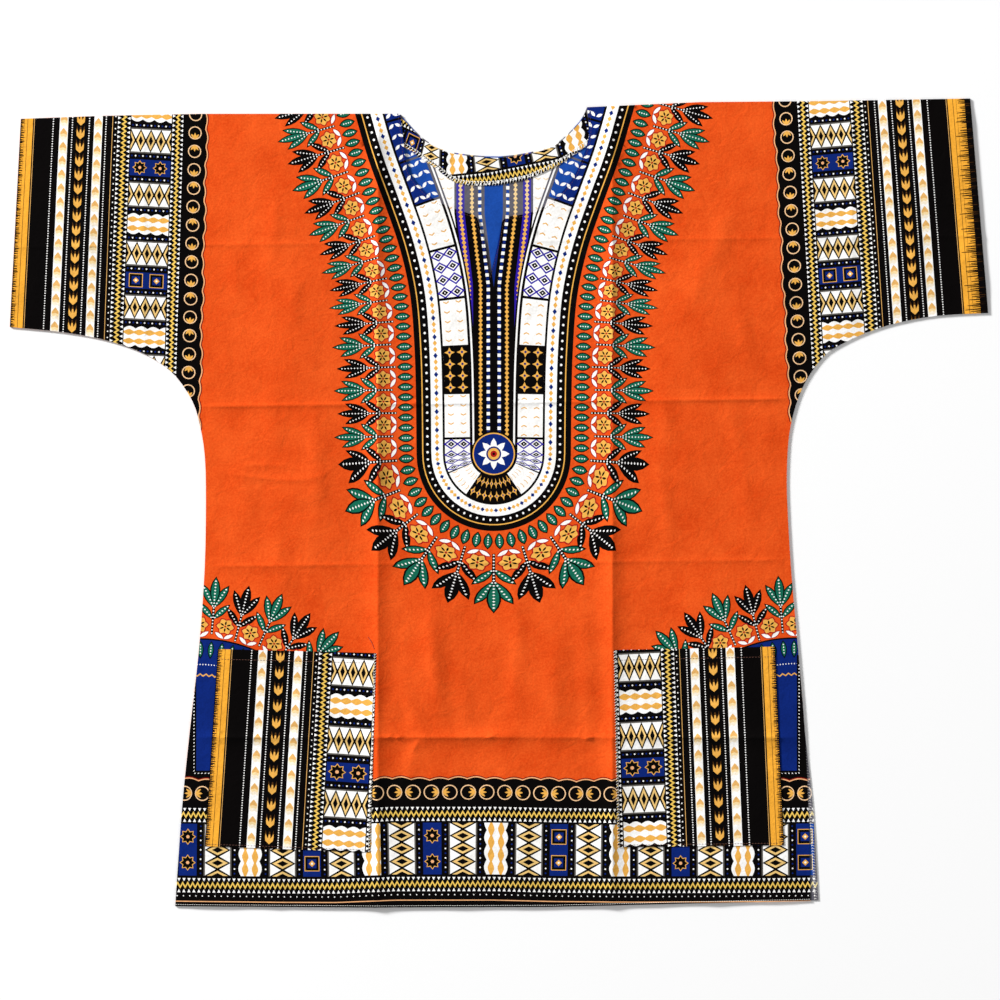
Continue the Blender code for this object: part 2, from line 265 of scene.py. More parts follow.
def looseness(x, y):
    """Height of the loose front over the back."""
    height = sum(fold_height(x - fold.place, y, fold) for fold in UPRIGHT_FOLDS)
    height *= HEM_SHARE + (1.0 - HEM_SHARE) * ease((y + HALF_LENGTH) / HEM_FADE)
    height += sum(fold_height(y - fold.place - fold.tilt * x, x, fold) for fold in LEVEL_FOLDS)
    for swell in SWELLS:
        across = (x - swell.x) / swell.half_width
        along = (y - swell.y) / swell.half_length
        height += swell.height * np.exp(-across ** 2 - along ** 2)
    height += sum(crease_height(x, y, crease) for crease in CREASES)
    return np.maximum(height + REST, 0.0)


def free_of_seams(x, y):
    """0 on the seams and shoulder folds, 1 where the cloth is free of them."""
    return ease(np.min([nearest_on(path, x, y)[0] for path in SEAMS], axis=0) / SEAM_FADE)


def flat(x, y):
    return np.zeros(np.shape(x))


def back_rise(x, y):
    """The back lies flat, with faint waves on its inner side."""
    return np.maximum(handling(x, y) + 0.3, 0.0) * free_of_seams(x, y)


def front_rise(x, y):
    """The front follows the back, and rises at its folds and where it passes over the facing."""
    from_facing = np.hypot(np.maximum(np.abs(x) - NECK_PLATEAU.x, 0.0), np.maximum(NECK_PLATEAU.y - y, 0.0))
    over_facing = (CLOTH + AIR) * (1.0 - ease(from_facing / NECK_SLOPE))
    return back_rise(x, y) + looseness(x, y) * free_of_seams(x, y) + over_facing


def creased_rise(x, y):
    """The front's upper side, with its fine sharp lines, each highest at its middle."""
    height = front_rise(x, y)
    for line in SHARP_LINES:
        away, share = nearest_on(through(line.path, 4), x, y)
        height = height + line.height * np.sin(math.pi * share) * np.exp(-(away / LINE_WIDTH * 1.3) ** 2)
    return height


def lining_rise(x, y):
    """The front's underside: the lowest of the cloth around each spot, so that it stays below the print."""
    heights = [front_rise(x, y)]
    for reach in (LINING_STEP * 0.5, LINING_STEP):
        for turn in np.arange(8) * math.pi / 4.0:
            heights.append(front_rise(x + reach * math.cos(turn), y + reach * math.sin(turn)))
    return np.maximum(np.minimum.reduce(heights), back_rise(x, y))


# ---------------- print: bands, shapes and rows

Stripe = namedtuple("Stripe", "ink low high")
DotRow = namedtuple("DotRow", "ink across radius pitch")
Teeth = namedtuple("Teeth", "ink base tip pitch")
Zigzag = namedtuple("Zigzag", "ink low high pitch width")
Block = namedtuple("Block", "start end low high")
TOOTH_SHARE = 0.32      # half the width of a tooth, as a share of its row's pitch


class Band:
    """A strip of print with its own measures: along its edge, and across it from the edge inwards."""

    def __init__(self, edge, inward=1, scale=1.0, fan=0.0):
        self.points = np.array(edge, dtype=float)
        steps = np.diff(self.points, axis=0)
        self.marks = marks_along(self.points)
        self.length = self.marks[-1]
        heading = steps / np.hypot(steps[:, 0], steps[:, 1])[:, None]
        turned = np.vstack([heading[:1], heading[:-1] + heading[1:], heading[-1:]])
        self.heading = turned / np.hypot(turned[:, 0], turned[:, 1])[:, None]
        self.inward = inward
        self.scale = scale
        self.fan = fan      # how much wider the band gets from one millimetre of its length to the next

    def place(self, spots):
        """Places on the cloth of spots given as (along, across)."""
        along, across = np.array(spots, dtype=float).T
        mark = np.clip(along, 0.0, self.length)
        over = along - mark
        x, y = (np.interp(mark, self.marks, self.points[:, axis]) for axis in (0, 1))
        ahead_x, ahead_y = (np.interp(mark, self.marks, self.heading[:, axis]) for axis in (0, 1))
        across = across * self.inward * (self.scale + self.fan * along)
        return np.column_stack([x + over * ahead_x - across * ahead_y,
                                y + over * ahead_y + across * ahead_x])


ON_CLOTH = Band([(0.0, 0.0), (1.0, 0.0)])   # a band whose own measures are those of the shirt


def fine(spots, step=PRINT_STEP):
    """A closed outline with no edge longer than a step."""
    result = []
    for start, end in zip(spots, [*spots[1:], spots[0]]):
        parts = max(1, math.ceil(math.dist(start, end) / step))
        result.extend((start[0] + (end[0] - start[0]) * part / parts,
                       start[1] + (end[1] - start[1]) * part / parts) for part in range(parts))
    return result


def anticlockwise(outline):
    x, y = outline.T
    return outline if np.dot(x, np.roll(y, -1)) > np.dot(y, np.roll(x, -1)) else outline[::-1]


class Print:
    """The inks on one side of a panel, each shape laid over those before it."""

    def __init__(self, ground, faded=False):
        self.faded = faded
        self.ground = self.ink(ground)
        self.shapes = []

    def ink(self, name):
        return "faded " + name if self.faded else name

    def lay(self, ink, band, spots):
        self.shapes.append((self.ink(ink), anticlockwise(band.place(fine(spots)))))

    def fill(self, ink, band, start, end, low, high):
        self.lay(ink, band, [(start, low), (end, low), (end, high), (start, high)])

    def put(self, ink, band, shape, along, across, turn=0.0, size=1.0):
        """Lays a shape round a spot of the band, turned in degrees."""
        cos, sin = math.cos(math.radians(turn)) * size, math.sin(math.radians(turn)) * size
        self.lay(ink, band, [(along + a * cos - c * sin, across + a * sin + c * cos) for a, c in shape])

    def stack(self, band, layers, along, across):
        """Lays shapes over each other round one spot."""
        for ink, shape in layers:
            self.put(ink, band, shape, along, across)


def rosette(radii):
    """An outline round its middle, from the distance of each corner."""
    turns = [math.tau * k / len(radii) for k in range(len(radii))]
    return [(radius * math.cos(turn), radius * math.sin(turn)) for radius, turn in zip(radii, turns)]


def disc(radius, sides=8):
    return rosette([radius] * sides)


def star(points, outer, inner):
    return rosette([outer, inner] * points)


def blossom(radius, petals, depth):
    """A round flower's outline with soft petals."""
    count = petals * 4
    return rosette([radius * (1.0 - depth * (0.5 + 0.5 * math.cos(petals * math.tau * k / count + math.pi)))
                    for k in range(count)])


def lozenge(half_along, half_across):
    return [(half_along, 0.0), (0.0, half_across), (-half_along, 0.0), (0.0, -half_across)]


def brick(half_along, half_across):
    return [(half_along, half_across), (-half_along, half_across),
            (-half_along, -half_across), (half_along, -half_across)]


def tooth(half_base, height):
    """A triangle that stands on its base, its point across the band."""
    return [(-half_base, 0.0), (half_base, 0.0), (0.0, height)]


def leaf(length, half_width, start=0.0, sides=5):
    """A pointed oval along the direction across the band, from its foot to its tip."""
    rise = [math.sin(math.pi * k / sides) ** 0.8 for k in range(sides + 1)]
    right = [(half_width * rise[k], start + length * k / sides) for k in range(sides)]
    left = [(-half_width * rise[k], start + length * k / sides) for k in range(sides, 0, -1)]
    return right + left


def spaced(start, end, pitch):
    """Middles of equal steps of about one pitch that fill a stretch."""
    count = max(1, round((end - start) / pitch))
    step = (end - start) / count
    return [start + step * (k + 0.5) for k in range(count)]


def grid(block, pitch_along, pitch_across):
    return [(along, across) for along in spaced(block.start, block.end, pitch_along)
            for across in spaced(block.low, block.high, pitch_across)]


def lay_rows(prnt, band, start, end, rows, shift=0.0):
    """Lays the rows of a border's table along a band."""
    for row in rows:
        if isinstance(row, Stripe):
            prnt.fill(row.ink, band, start, end, row.low + shift, row.high + shift)
        elif isinstance(row, DotRow):
            dot = disc(row.radius, 4 if row.radius < 1.0 else 6)
            for along in spaced(start, end, row.pitch):
                prnt.put(row.ink, band, dot, along, row.across + shift)
        elif isinstance(row, Teeth):
            point = tooth(row.pitch * TOOTH_SHARE, row.tip - row.base)
            for along in spaced(start, end, row.pitch):
                prnt.put(row.ink, band, point, along, row.base + shift)
        elif isinstance(row, Zigzag):
            half = row.width / 2.0
            line = [(along, row.low + half if k % 2 else row.high - half)
                    for k, along in enumerate(spaced(start, end, row.pitch / 2.0))]
            upper = [(along, across + half + shift) for along, across in line]
            lower = [(along, across - half + shift) for along, across in reversed(line)]
            prnt.lay(row.ink, band, upper + lower)


def braid(low_teeth, zigzag, high_teeth, pitch, width):
    """Rows of a yellow zigzag between two rows of white teeth."""
    return (Teeth("white", *low_teeth, pitch), Zigzag("yellow", *zigzag, pitch, width),
            Teeth("white", *high_teeth, pitch))


# ---------------- print: blocks of the borders

def cells(block, count):
    """Middles of equal cells across a block, with half the size of their shorter side."""
    step = (block.high - block.low) / count
    middle, half_along = (block.start + block.end) / 2.0, (block.end - block.start) / 2.0
    return [(middle, block.low + step * (k + 0.5), min(half_along, step / 2.0)) for k in range(count)]


def lozenge_block(prnt, band, block):
    """A row of straw lozenges with dark hearts and outlines on white, half ones at its ends."""
    prnt.fill("white", band, *block)
    for along in (block.start, block.end):
        prnt.fill("ash", band, along - 0.8, along + 0.8, block.low, block.high)
    middle = (block.start + block.end) / 2.0
    half_a, half_c = (block.end - block.start) / 2.0, (block.high - block.low) / 8.0
    for ink, share_a, share_c in (("black", 1.0, 1.16), ("straw", 0.80, 0.80), ("black", 0.44, 0.44)):
        reach_a, reach_c = half_a * share_a, half_c * share_c
        for cell in (1, 2, 3):
            prnt.put(ink, band, lozenge(reach_a, reach_c), middle, block.low + 2.0 * half_c * cell)
        for end, side in ((block.low, 1), (block.high, -1)):
            prnt.put(ink, band, tooth(reach_a, side * reach_c), middle, end)


def squares_block(prnt, band, block):
    """Gold and navy squares one inside the other."""
    prnt.fill("navy", band, *block)
    for along, across, half in cells(block, 2):
        prnt.stack(band, (
            ("gold", brick(half * 0.84, half * 0.84)), ("black", brick(half * 0.76, half * 0.76)),
            ("navy", brick(half * 0.5, half * 0.5)), ("gold", lozenge(half * 0.36, half * 0.36)),
            ("white", disc(half * 0.13, 6))), along, across)


def star_block(prnt, band, block):
    """Black stars with gold outlines on navy."""
    prnt.fill("navy", band, *block)
    for along, across, half in cells(block, 2):
        prnt.stack(band, (
            ("gold", star(8, half * 0.90, half * 0.62)), ("black", star(8, half * 0.78, half * 0.52)),
            ("peach", disc(half * 0.20, 6))), along, across)


CHAIN_LINK = ((-0.32, -1.0), (0.32, -1.0), (1.0, -0.18), (0.9, 0.24),
              (0.32, 1.0), (-0.32, 1.0), (-1.0, 0.18), (-0.9, -0.24))


def chain_block(prnt, band, block):
    """Two chains of gold lozenges on white between scalloped ends."""
    prnt.fill("white", band, *block)
    scallop = (block.high - block.low) / 3.5
    for end, side in ((block.start, 1), (block.end, -1)):
        wave = [(end + side * 2.8 * (1.0 - abs(math.sin(math.pi * (across - block.low) / scallop))), across)
                for across in np.linspace(block.low, block.high, 29)]
        prnt.lay("black", band, [(end - side * 1.0, block.low), *wave, (end - side * 1.0, block.high)])
    half_a, half_c = (block.end - block.start) * 0.14, (block.high - block.low) / 8.0
    link = [(half_a * a, half_c * c) for a, c in CHAIN_LINK]
    for share in (0.29, 0.71):
        along = block.start + (block.end - block.start) * share
        for cell in range(4):
            prnt.put("gold", band, link, along, block.low + half_c * (1.0 + 2.0 * cell))


def dotted_bar(prnt, band, block):
    """The narrow dark bar between two blocks."""
    prnt.fill("black", band, *block)
    for k, (along, across, half) in enumerate(cells(block, 11)):
        prnt.put("white" if k % 2 else "navy", band, disc(1.05, 5), along, across)


BLOCKS = (              # length, and what draws it
    (27.0, lozenge_block), (18.5, star_block), (27.0, lozenge_block), (24.0, chain_block),
    (27.0, lozenge_block), (18.5, squares_block), (27.0, lozenge_block), (24.0, chain_block))
BAR = 8.0               # from one block to the next
SCALLOP = 20.5          # length of one scallop of a border's inner edge


def lay_blocks(prnt, band, start, end, low, high, stretch=1.0, first=0):
    """A column of blocks with dotted bars between them."""
    along, kind, bar = start, first, BAR * stretch
    dotted_bar(prnt, band, Block(along - bar, along, low, high))
    while along < end:
        length, draw = BLOCKS[kind % len(BLOCKS)]
        length *= stretch
        dotted_bar(prnt, band, Block(along + length, along + length + bar, low, high))
        draw(prnt, band, Block(along, along + length, low, high))
        along += length + bar
        kind += 1


# ---------------- print: the borders

SELVEDGE = 14.0         # the gold strip beside the cloth's edge
BORDER_ROWS = (
    Stripe("tan", 15.4, 16.0),
    DotRow("white", 37.2, 0.9, 2.85),
    Stripe("white", 44.6, 54.2),
    DotRow("white", 59.0, 0.9, 2.85),
    DotRow("white", 78.3, 0.9, 2.85),
    Stripe("white", 83.8, 93.2),
    DotRow("white", 97.3, 0.9, 2.85),
    Stripe("tan", 104.5, 105.1),
    DotRow("white", 108.2, 0.95, 7.0),
    *braid((110.8, 114.4), (114.6, 121.4), (124.9, 121.4), 5.4, 3.0),
    *braid((173.2, 176.4), (176.4, 182.2), (185.2, 182.0), 5.4, 2.7),
)
BORDER_BLOCKS = (126.0, 172.0)
BORDER_MOUNDS = (49.4, 88.5)
BORDER_BUDS = 68.6
MOTIF_PITCH = 15.6      # from one bud or mound to the next
BORDER_COINS = 199.0
BORDER_EDGE = 209.5
SLEEVE_FAN = 0.00013    # the cotton was pulled askew there, so the strips draw apart down the cuff
MOUND = (               # pointed, fading into its white stripe: from its palest part to its top
    ("cream", ((-1.0, -4.2), (5.6, -4.4), (8.6, -1.4), (7.2, 1.6), (8.8, 4.4), (-1.0, 4.2))),
    ("pale gold", ((-2.0, -3.6), (2.4, -4.2), (4.8, -2.2), (3.6, 0.4), (5.2, 3.0), (2.6, 4.2),
                   (-2.0, 3.6))),
    ("tan", ((-5.8, 0.0), (-3.4, -2.1), (0.2, -3.9), (1.8, -3.4), (0.6, 0.0), (2.0, 3.4), (0.2, 3.9),
             (-3.4, 2.1))),
)
BUD = (                 # four petals that point down the border, their tails under them
    ("bronze", ((2.4, 0.0), (-1.5, 4.5), (-9.6, 4.4), (-3.4, 2.6), (-0.2, 1.6), (-8.0, 0.6),
                (-8.0, -0.6), (-0.2, -1.6), (-3.4, -2.6), (-9.6, -4.4), (-1.5, -4.5))),
    ("gold", ((6.4, 0.0), (2.4, 4.2), (-1.5, 4.6), (-5.6, 4.3), (-2.0, 2.6), (-0.2, 1.4), (-4.8, 0.7),
              (-4.8, -0.7), (-0.2, -1.4), (-2.0, -2.6), (-5.6, -4.3), (-1.5, -4.6), (2.4, -4.2))),
)


def selvedge_strip(prnt, band, start, end, comb):
    """The gold strip beside the cloth's edge, with ragged dark strokes that reach into it."""
    prnt.fill("amber", band, start, end, 0.8, SELVEDGE + comb)
    if comb:
        prnt.lay("black", band, [(start, -1.0), (end, -1.0), (end, comb * 0.72), (start, comb * 0.56)])
    for low, high in ((0.56, 0.60), (0.30, 0.32)):
        prnt.fill("bronze", band, start, end, SELVEDGE * low + comb, SELVEDGE * high + comb)
    for k, along in enumerate(spaced(start, end, 2.7)):
        reach = 6.4 + 1.2 * math.sin(k * 1.9) + comb * 0.9
        prnt.lay("bronze", band, [(along - 0.5, -1.0), (along + 0.5, -1.0),
                                  (along + 0.3 * math.sin(k * 2.9), reach)])
    for k, along in enumerate(spaced(start, end, 2.1)):
        uneven = 1.0 + 0.26 * math.sin(k * 2.4) + 0.20 * math.sin(k * 0.61 + 0.8) + 0.12 * math.sin(k * 5.3)
        tip = (4.0 + comb * (0.70 + 0.55 * (along - start) / (end - start))) * uneven
        lean = 0.5 * math.sin(k * 1.7)
        prnt.lay("black", band, [(along - 1.1, -1.0), (along + 1.1, -1.0), (along + lean + 0.35, tip),
                                 (along + lean - 0.35, tip)])


def coin_row(prnt, band, start, end, across, radius):
    """Thin gold rings, each with a sprig of three leaves that grows in from its rim."""
    for k, along in enumerate(spaced(start, end, SCALLOP)):
        side = 1 if k % 2 else -1
        prnt.put("pale peach", band, disc(radius, 16), along, across)
        prnt.put("black", band, disc(radius - 1.2, 14), along, across)
        for spread in (-38.0, 0.0, 38.0):
            prnt.put("gold", band, leaf(radius * 0.95, 1.3, 0.0, 4), along + side * (radius - 0.6), across,
                     side * 90.0 + spread)


def scalloped_edge(prnt, band, start, end, across):
    """The border's inner edge: shallow dark scallops with a peach line along them."""
    for ink, reach in (("maroon", 3.0), ("peach", 1.8), ("black", 0.5)):
        points = [(along, across + reach + 2.5 * abs(math.sin(math.pi * along / SCALLOP))
                   + 0.8 * math.sin(math.pi * along / SCALLOP / 2.0))
                  for along in np.arange(start, end, SCALLOP / 6.0)]
        prnt.lay(ink, band, [(start, across - 3.0), *points, (end, across - 3.0)])


def selvedge_border(prnt, band, start, end, comb=0.0, first=0, stretch=1.0, top=4.0):
    """The wide border that runs beside a selvedge, on sleeves and pockets."""
    prnt.fill("black", band, start, end, -20.0, BORDER_EDGE + comb)
    scalloped_edge(prnt, band, start, end, BORDER_EDGE + comb)
    selvedge_strip(prnt, band, start, end, comb)
    lay_rows(prnt, band, start, end, BORDER_ROWS, comb)
    pitch = MOTIF_PITCH * stretch
    for across, motif, lag in ((BORDER_MOUNDS[0], MOUND, 0.0), (BORDER_MOUNDS[1], MOUND, 2.5),
                               (BORDER_BUDS, BUD, 0.0)):
        for along in spaced(start + lag, end, pitch):
            prnt.stack(band, motif, along, across + comb)
    lay_blocks(prnt, band, top, end, BORDER_BLOCKS[0] + comb, BORDER_BLOCKS[1] + comb, stretch, first)
    coin_row(prnt, band, start, end, BORDER_COINS + comb, 7.6)


HEM_ROWS = (
    Stripe("peach", 7.6, 8.7),
    DotRow("white", 14.4, 0.9, 7.2),
    *braid((18.4, 22.2), (22.3, 30.9), (34.6, 31.0), 5.7, 3.2),
    *braid((98.6, 102.4), (102.4, 110.8), (114.4, 110.8), 5.7, 3.2),
)
HEM_BLOCKS = (37.5, 96.5)
HEM_BLOCK_RUNS = (      # start, end and first block: the two upright folds each take up some cloth
    (-55.0, 240.0, 7), (260.5, 530.0, 0), (543.0, 770.0, 0))
HEM_PRINT = (           # the border's lower edge; the hem cuts into it on the right
    (-385.0, -461.7), (-248.0, -463.2), (-185.0, -463.4), (-120.0, -460.7), (-6.0, -460.6),
    (64.0, -462.3), (160.0, -463.0), (308.0, -462.3), (385.0, -461.5))
HEM_COINS = 131.2
HEM_EDGE = 144.5


def hem_border(prnt, band, start, end):
    """The border along the hem: blocks between zigzags, with gold rings above."""
    prnt.fill("black", band, start, end, -12.0, HEM_EDGE)
    scalloped_edge(prnt, band, start, end, HEM_EDGE)
    lay_rows(prnt, band, start, end, HEM_ROWS)
    for run_start, run_end, first in HEM_BLOCK_RUNS:
        lay_blocks(prnt, band, run_start, run_end, *HEM_BLOCKS, 1.11, first)
    coin_row(prnt, band, start - 5.0, end - 5.0, HEM_COINS, 8.6)


# ---------------- print: the neck yoke

YOKE_MIDDLE = -6.0
YOKE_RADIUS = 88.0      # of its round lower end
YOKE_ROUND = Spot(YOKE_MIDDLE, 56.0)
YOKE_HALF_WIDTHS = (    # above the round end: half width, and height on the shirt
    (167.0, 475.0), (158.0, 443.0), (143.0, 392.0), (124.0, 340.0),
    (107.0, 290.0), (95.0, 235.0), (90.0, 170.0), (88.5, 110.0))
YOKE_ROWS = (Stripe("gold", 6.5, 7.8), DotRow("white", 12.6, 1.5, 9.0),
             Stripe("white", 17.0, 30.0), Stripe("white", 64.0, 66.0))
YOKE_PANEL = (32.5, 61.0)
YOKE_CORE = 68.0        # depth of the bands round the core

SprigLeaf = namedtuple("SprigLeaf", "share spread length half_width")
SPRIG_STEM = 30.0
SPRIG_LEAVES = (        # share of the stem below the leaf, angle to the stem, size
    SprigLeaf(0.50, 37.0, 22.0, 3.4), SprigLeaf(0.88, 22.0, 27.0, 3.7), SprigLeaf(0.97, 0.0, 30.0, 4.0))
CHECK_MARK = ((-1.6, -3.2), (0.0, 0.0), (-1.6, 3.2), (-3.1, 3.2), (-1.5, 0.0), (-3.1, -3.2))


def yoke_edge():
    """The yoke's outer edge, from the left shoulder round its lower end to the right shoulder."""
    flank = through(YOKE_HALF_WIDTHS, 5)
    left = [(YOKE_MIDDLE - half, height) for half, height in flank]
    bend = [(YOKE_ROUND.x - YOKE_RADIUS * math.cos(math.pi * k / 48.0),
             YOKE_ROUND.y - YOKE_RADIUS * math.sin(math.pi * k / 48.0)) for k in range(49)]
    right = [(YOKE_MIDDLE + half, height) for half, height in reversed(flank)]
    return left + bend + right


def yoke_core(prnt):
    """Strips on both sides of the neck slit, which draw together below it and run to the round end."""
    middle, foot, top = YOKE_MIDDLE, YOKE_ROUND.y, 430.0
    prnt.fill("black", ON_CLOTH, middle - 62.0, middle + 62.0, foot, top)
    prnt.lay("navy", ON_CLOTH, [(middle - 10.5, top), (middle - 10.5, 330.0), (middle, 246.0),
                                (middle + 10.5, 330.0), (middle + 10.5, top)])
    for side in (-1, 1):
        line = Band([(middle + side * 16.0, top), (middle + side * 16.0, 332.0),
                     (middle + side * 6.2, 248.0), (middle + side * 6.2, foot)], inward=side)
        prnt.fill("purple", line, 0.0, line.length, 17.4, 26.6)
        prnt.fill("white", line, 0.0, line.length, 29.0, 58.0)
        for along in spaced(0.0, line.length, 8.4):
            prnt.put("white", line, brick(1.9, 1.9), along, 0.0)
            prnt.put("navy", line, brick(1.6, 1.6), along + 4.2, 0.0)
        for along in spaced(0.0, line.length, 5.0):
            prnt.put("gold", line, lozenge(3.1, 2.5), along, 8.8)
            prnt.put("gold", line, lozenge(3.0, 2.6), along, 22.0)
        for along in spaced(0.0, line.length, 11.0):
            for across in (34.5, 43.5, 52.5):
                prnt.put("tan", line, CHECK_MARK, along, across)


def yoke_flower(prnt):
    """The flower in the yoke's round end."""
    spot = Band([(YOKE_ROUND.x, YOKE_ROUND.y + 6.0), (YOKE_ROUND.x, YOKE_ROUND.y - 6.0)])
    prnt.stack(spot, (("black", disc(26.0, 32)), ("gold", disc(24.2, 32)), ("navy", disc(22.8, 32)),
                      ("white", blossom(18.0, 8, 0.45)), ("navy", disc(8.6, 20)),
                      ("gold", disc(6.8, 16)), ("red", disc(3.8, 12)), ("black", disc(1.6, 8))), 6.0, 0.0)


def white_panel(prnt, band, block):
    """White with small tan marks in two rows."""
    prnt.fill("white", band, *block)
    for spot in grid(block, 9.4, 13.0):
        prnt.put("tan", band, CHECK_MARK, *spot)


def purple_panel(prnt, band, block):
    """Purple lozenges with white hearts on white, in two rows."""
    prnt.fill("white", band, *block)
    for spot in grid(block, 13.5, 18.5):
        prnt.stack(band, (("purple", lozenge(6.2, 8.6)), ("white", lozenge(4.2, 5.8)),
                          ("black", lozenge(2.9, 4.0)), ("white", disc(0.8, 6))), *spot)


def gold_panel(prnt, band, block):
    """Gold crosses on black."""
    prnt.fill("black", band, *block)
    for spot in grid(block, 14.0, 12.5):
        prnt.stack(band, (("gold", star(4, 6.0, 2.6)), ("navy", disc(1.5, 6))), *spot)


def blue_panel(prnt, band, block):
    """White leaves in pairs on navy."""
    prnt.fill("navy", band, *block)
    for along, across in grid(block, 13.0, 12.5):
        for side in (-1, 1):
            prnt.put("white", band, leaf(8.0, 1.9, 0.8, 3), along - 2.6, across, side * 52.0 - 90.0)


# From the middle of the round end up to the shoulders, on both sides
YOKE_PANELS = (gold_panel, white_panel, purple_panel, white_panel, gold_panel, white_panel, purple_panel,
               white_panel, blue_panel, blue_panel, blue_panel)


def yoke_bands(prnt, band):
    """The bands that follow the yoke's edge, from the outside in."""
    prnt.fill("black", band, 0.0, band.length, 0.0, YOKE_PANEL[0])
    prnt.fill("black", band, 0.0, band.length, YOKE_PANEL[1], YOKE_CORE)
    lay_rows(prnt, band, 0.0, band.length, YOKE_ROWS)
    for k, along in enumerate(spaced(0.0, band.length, 7.0)):
        prnt.put("gold" if k % 3 else "navy", band, lozenge(3.3, 2.5), along, 23.5)
    middle = band.length / 2.0
    length = middle / len(YOKE_PANELS)
    for k in range(-len(YOKE_PANELS), len(YOKE_PANELS)):
        start = middle + k * length
        YOKE_PANELS[k if k >= 0 else -k - 1](prnt, band, Block(start, start + length, *YOKE_PANEL))
        prnt.fill("black", band, start - 1.3, start + 1.3, 32.0, 62.0)


def dots_along(prnt, band, foot, turn, start, end, pitch=3.6):
    """A row of white dots from a spot of the band, in a direction turned in degrees."""
    for reach in np.arange(start, end, pitch):
        prnt.put("white", band, disc(0.92, 4), foot[0] - reach * math.sin(math.radians(turn)),
                 foot[1] + reach * math.cos(math.radians(turn)))


def sprig(prnt, band, along, ink, start, size):
    """A leafy sprig that stands out from a band's edge, with white dots up its stem and leaves."""
    stem = SPRIG_STEM * size
    prnt.put("black", band, brick(1.3, stem / 2.0), along, -start - stem / 2.0)
    for row in SPRIG_LEAVES:
        foot = (along, -start - stem * row.share)
        for side in ((-1, 1) if row.spread else (1,)):
            turn = 180.0 + side * row.spread
            prnt.put("black", band, leaf(row.length, row.half_width), *foot, turn, size)
            if ink != "black":
                inner = leaf(row.length - 3.4, row.half_width - 1.0, 1.6)
                prnt.put(ink, band, inner, *foot, turn, size)
            dots_along(prnt, band, foot, turn, 3.0, row.length * size - 3.5)
    dots_along(prnt, band, (along, -start), 180.0, 1.5, stem - 2.0)


def daisy(prnt, band, along, across, radius):
    """A gold flower with a red outline, dark veins and a red eye."""
    prnt.put("red", band, blossom(radius + 1.4, 6, 0.24), along, across)
    prnt.put("gold", band, blossom(radius, 6, 0.27), along, across)
    for petal in range(6):
        prnt.put("black", band, leaf(radius * 0.56, 1.0, radius * 0.14, 3), along, across, 60.0 * petal)
    prnt.put("red", band, disc(radius * 0.14, 5), along, across)


def dotted_leaf(prnt, band, foot, turn, outer, inner, dots):
    """A teal leaf with a dark outline and a dotted midrib."""
    prnt.put("black", band, leaf(*outer, 0.0, 6), *foot, turn)
    prnt.put("teal", band, leaf(*inner, 6), *foot, turn)
    dots_along(prnt, band, foot, turn, *dots)


def fringe(prnt, band, start, end, foot, size):
    """Flowers, small leaves and sprigs that stand out from a band's edge."""
    places = spaced(start, end, 26.5)
    for k, along in enumerate(places):
        sprig(prnt, band, along, "teal" if k % 2 else "black", foot + 4.0 * (k % 2), size)
    for along in places[:-1]:
        middle = along + (places[1] - places[0]) / 2.0
        for side in (-1, 1):
            for ink, length, half_width, base in (("red", 14.0, 3.1, 0.0), ("white", 11.4, 2.0, 1.3)):
                prnt.put(ink, band, leaf(length, half_width, base), middle + side * 0.8, -foot,
                         180.0 - side * 58.0)
        daisy(prnt, band, middle, -foot - 13.0 * size, 8.2 * size)


def neck_yoke(prnt):
    band = Band(yoke_edge())
    fringe(prnt, band, 0.0, band.length, 22.0, 1.15)
    for along in spaced(0.0, band.length, 11.6):
        dotted_leaf(prnt, band, (along, -2.2), 180.0, (19.0, 4.9), (15.6, 3.6, 1.7), (5.0, 15.0, 2.8))
    prnt.lay("black", ON_CLOTH, yoke_edge())
    yoke_core(prnt)
    yoke_bands(prnt, band)
    yoke_flower(prnt)


# ---------------- print: quarter suns over the pockets

SUN_RADIUS = 160.0
SUN_FOOT = -322.0
SUN_FIELD_FOOT = -305.0
SUN_TURN = 70.0         # degrees of its edge that carry the hanging leaves and the fringe
SUN_ROWS = (DotRow("white", 30.0, 0.95, 4.0), Zigzag("gold", 40.0, 44.0, 9.0, 1.6))
SUN_DOTS = DotRow("white", 0.0, 0.95, 4.0)      # beside the pocket and over it


def sun_edge(middle, side):
    """From the side seam over the sun's top, then down beside the pocket."""
    turn = [(middle.x + side * SUN_RADIUS * math.sin(math.radians(a)),
             middle.y + SUN_RADIUS * math.cos(math.radians(a))) for a in range(-12, 91, 3)]
    return [*turn, (middle.x + side * SUN_RADIUS, SUN_FOOT)]


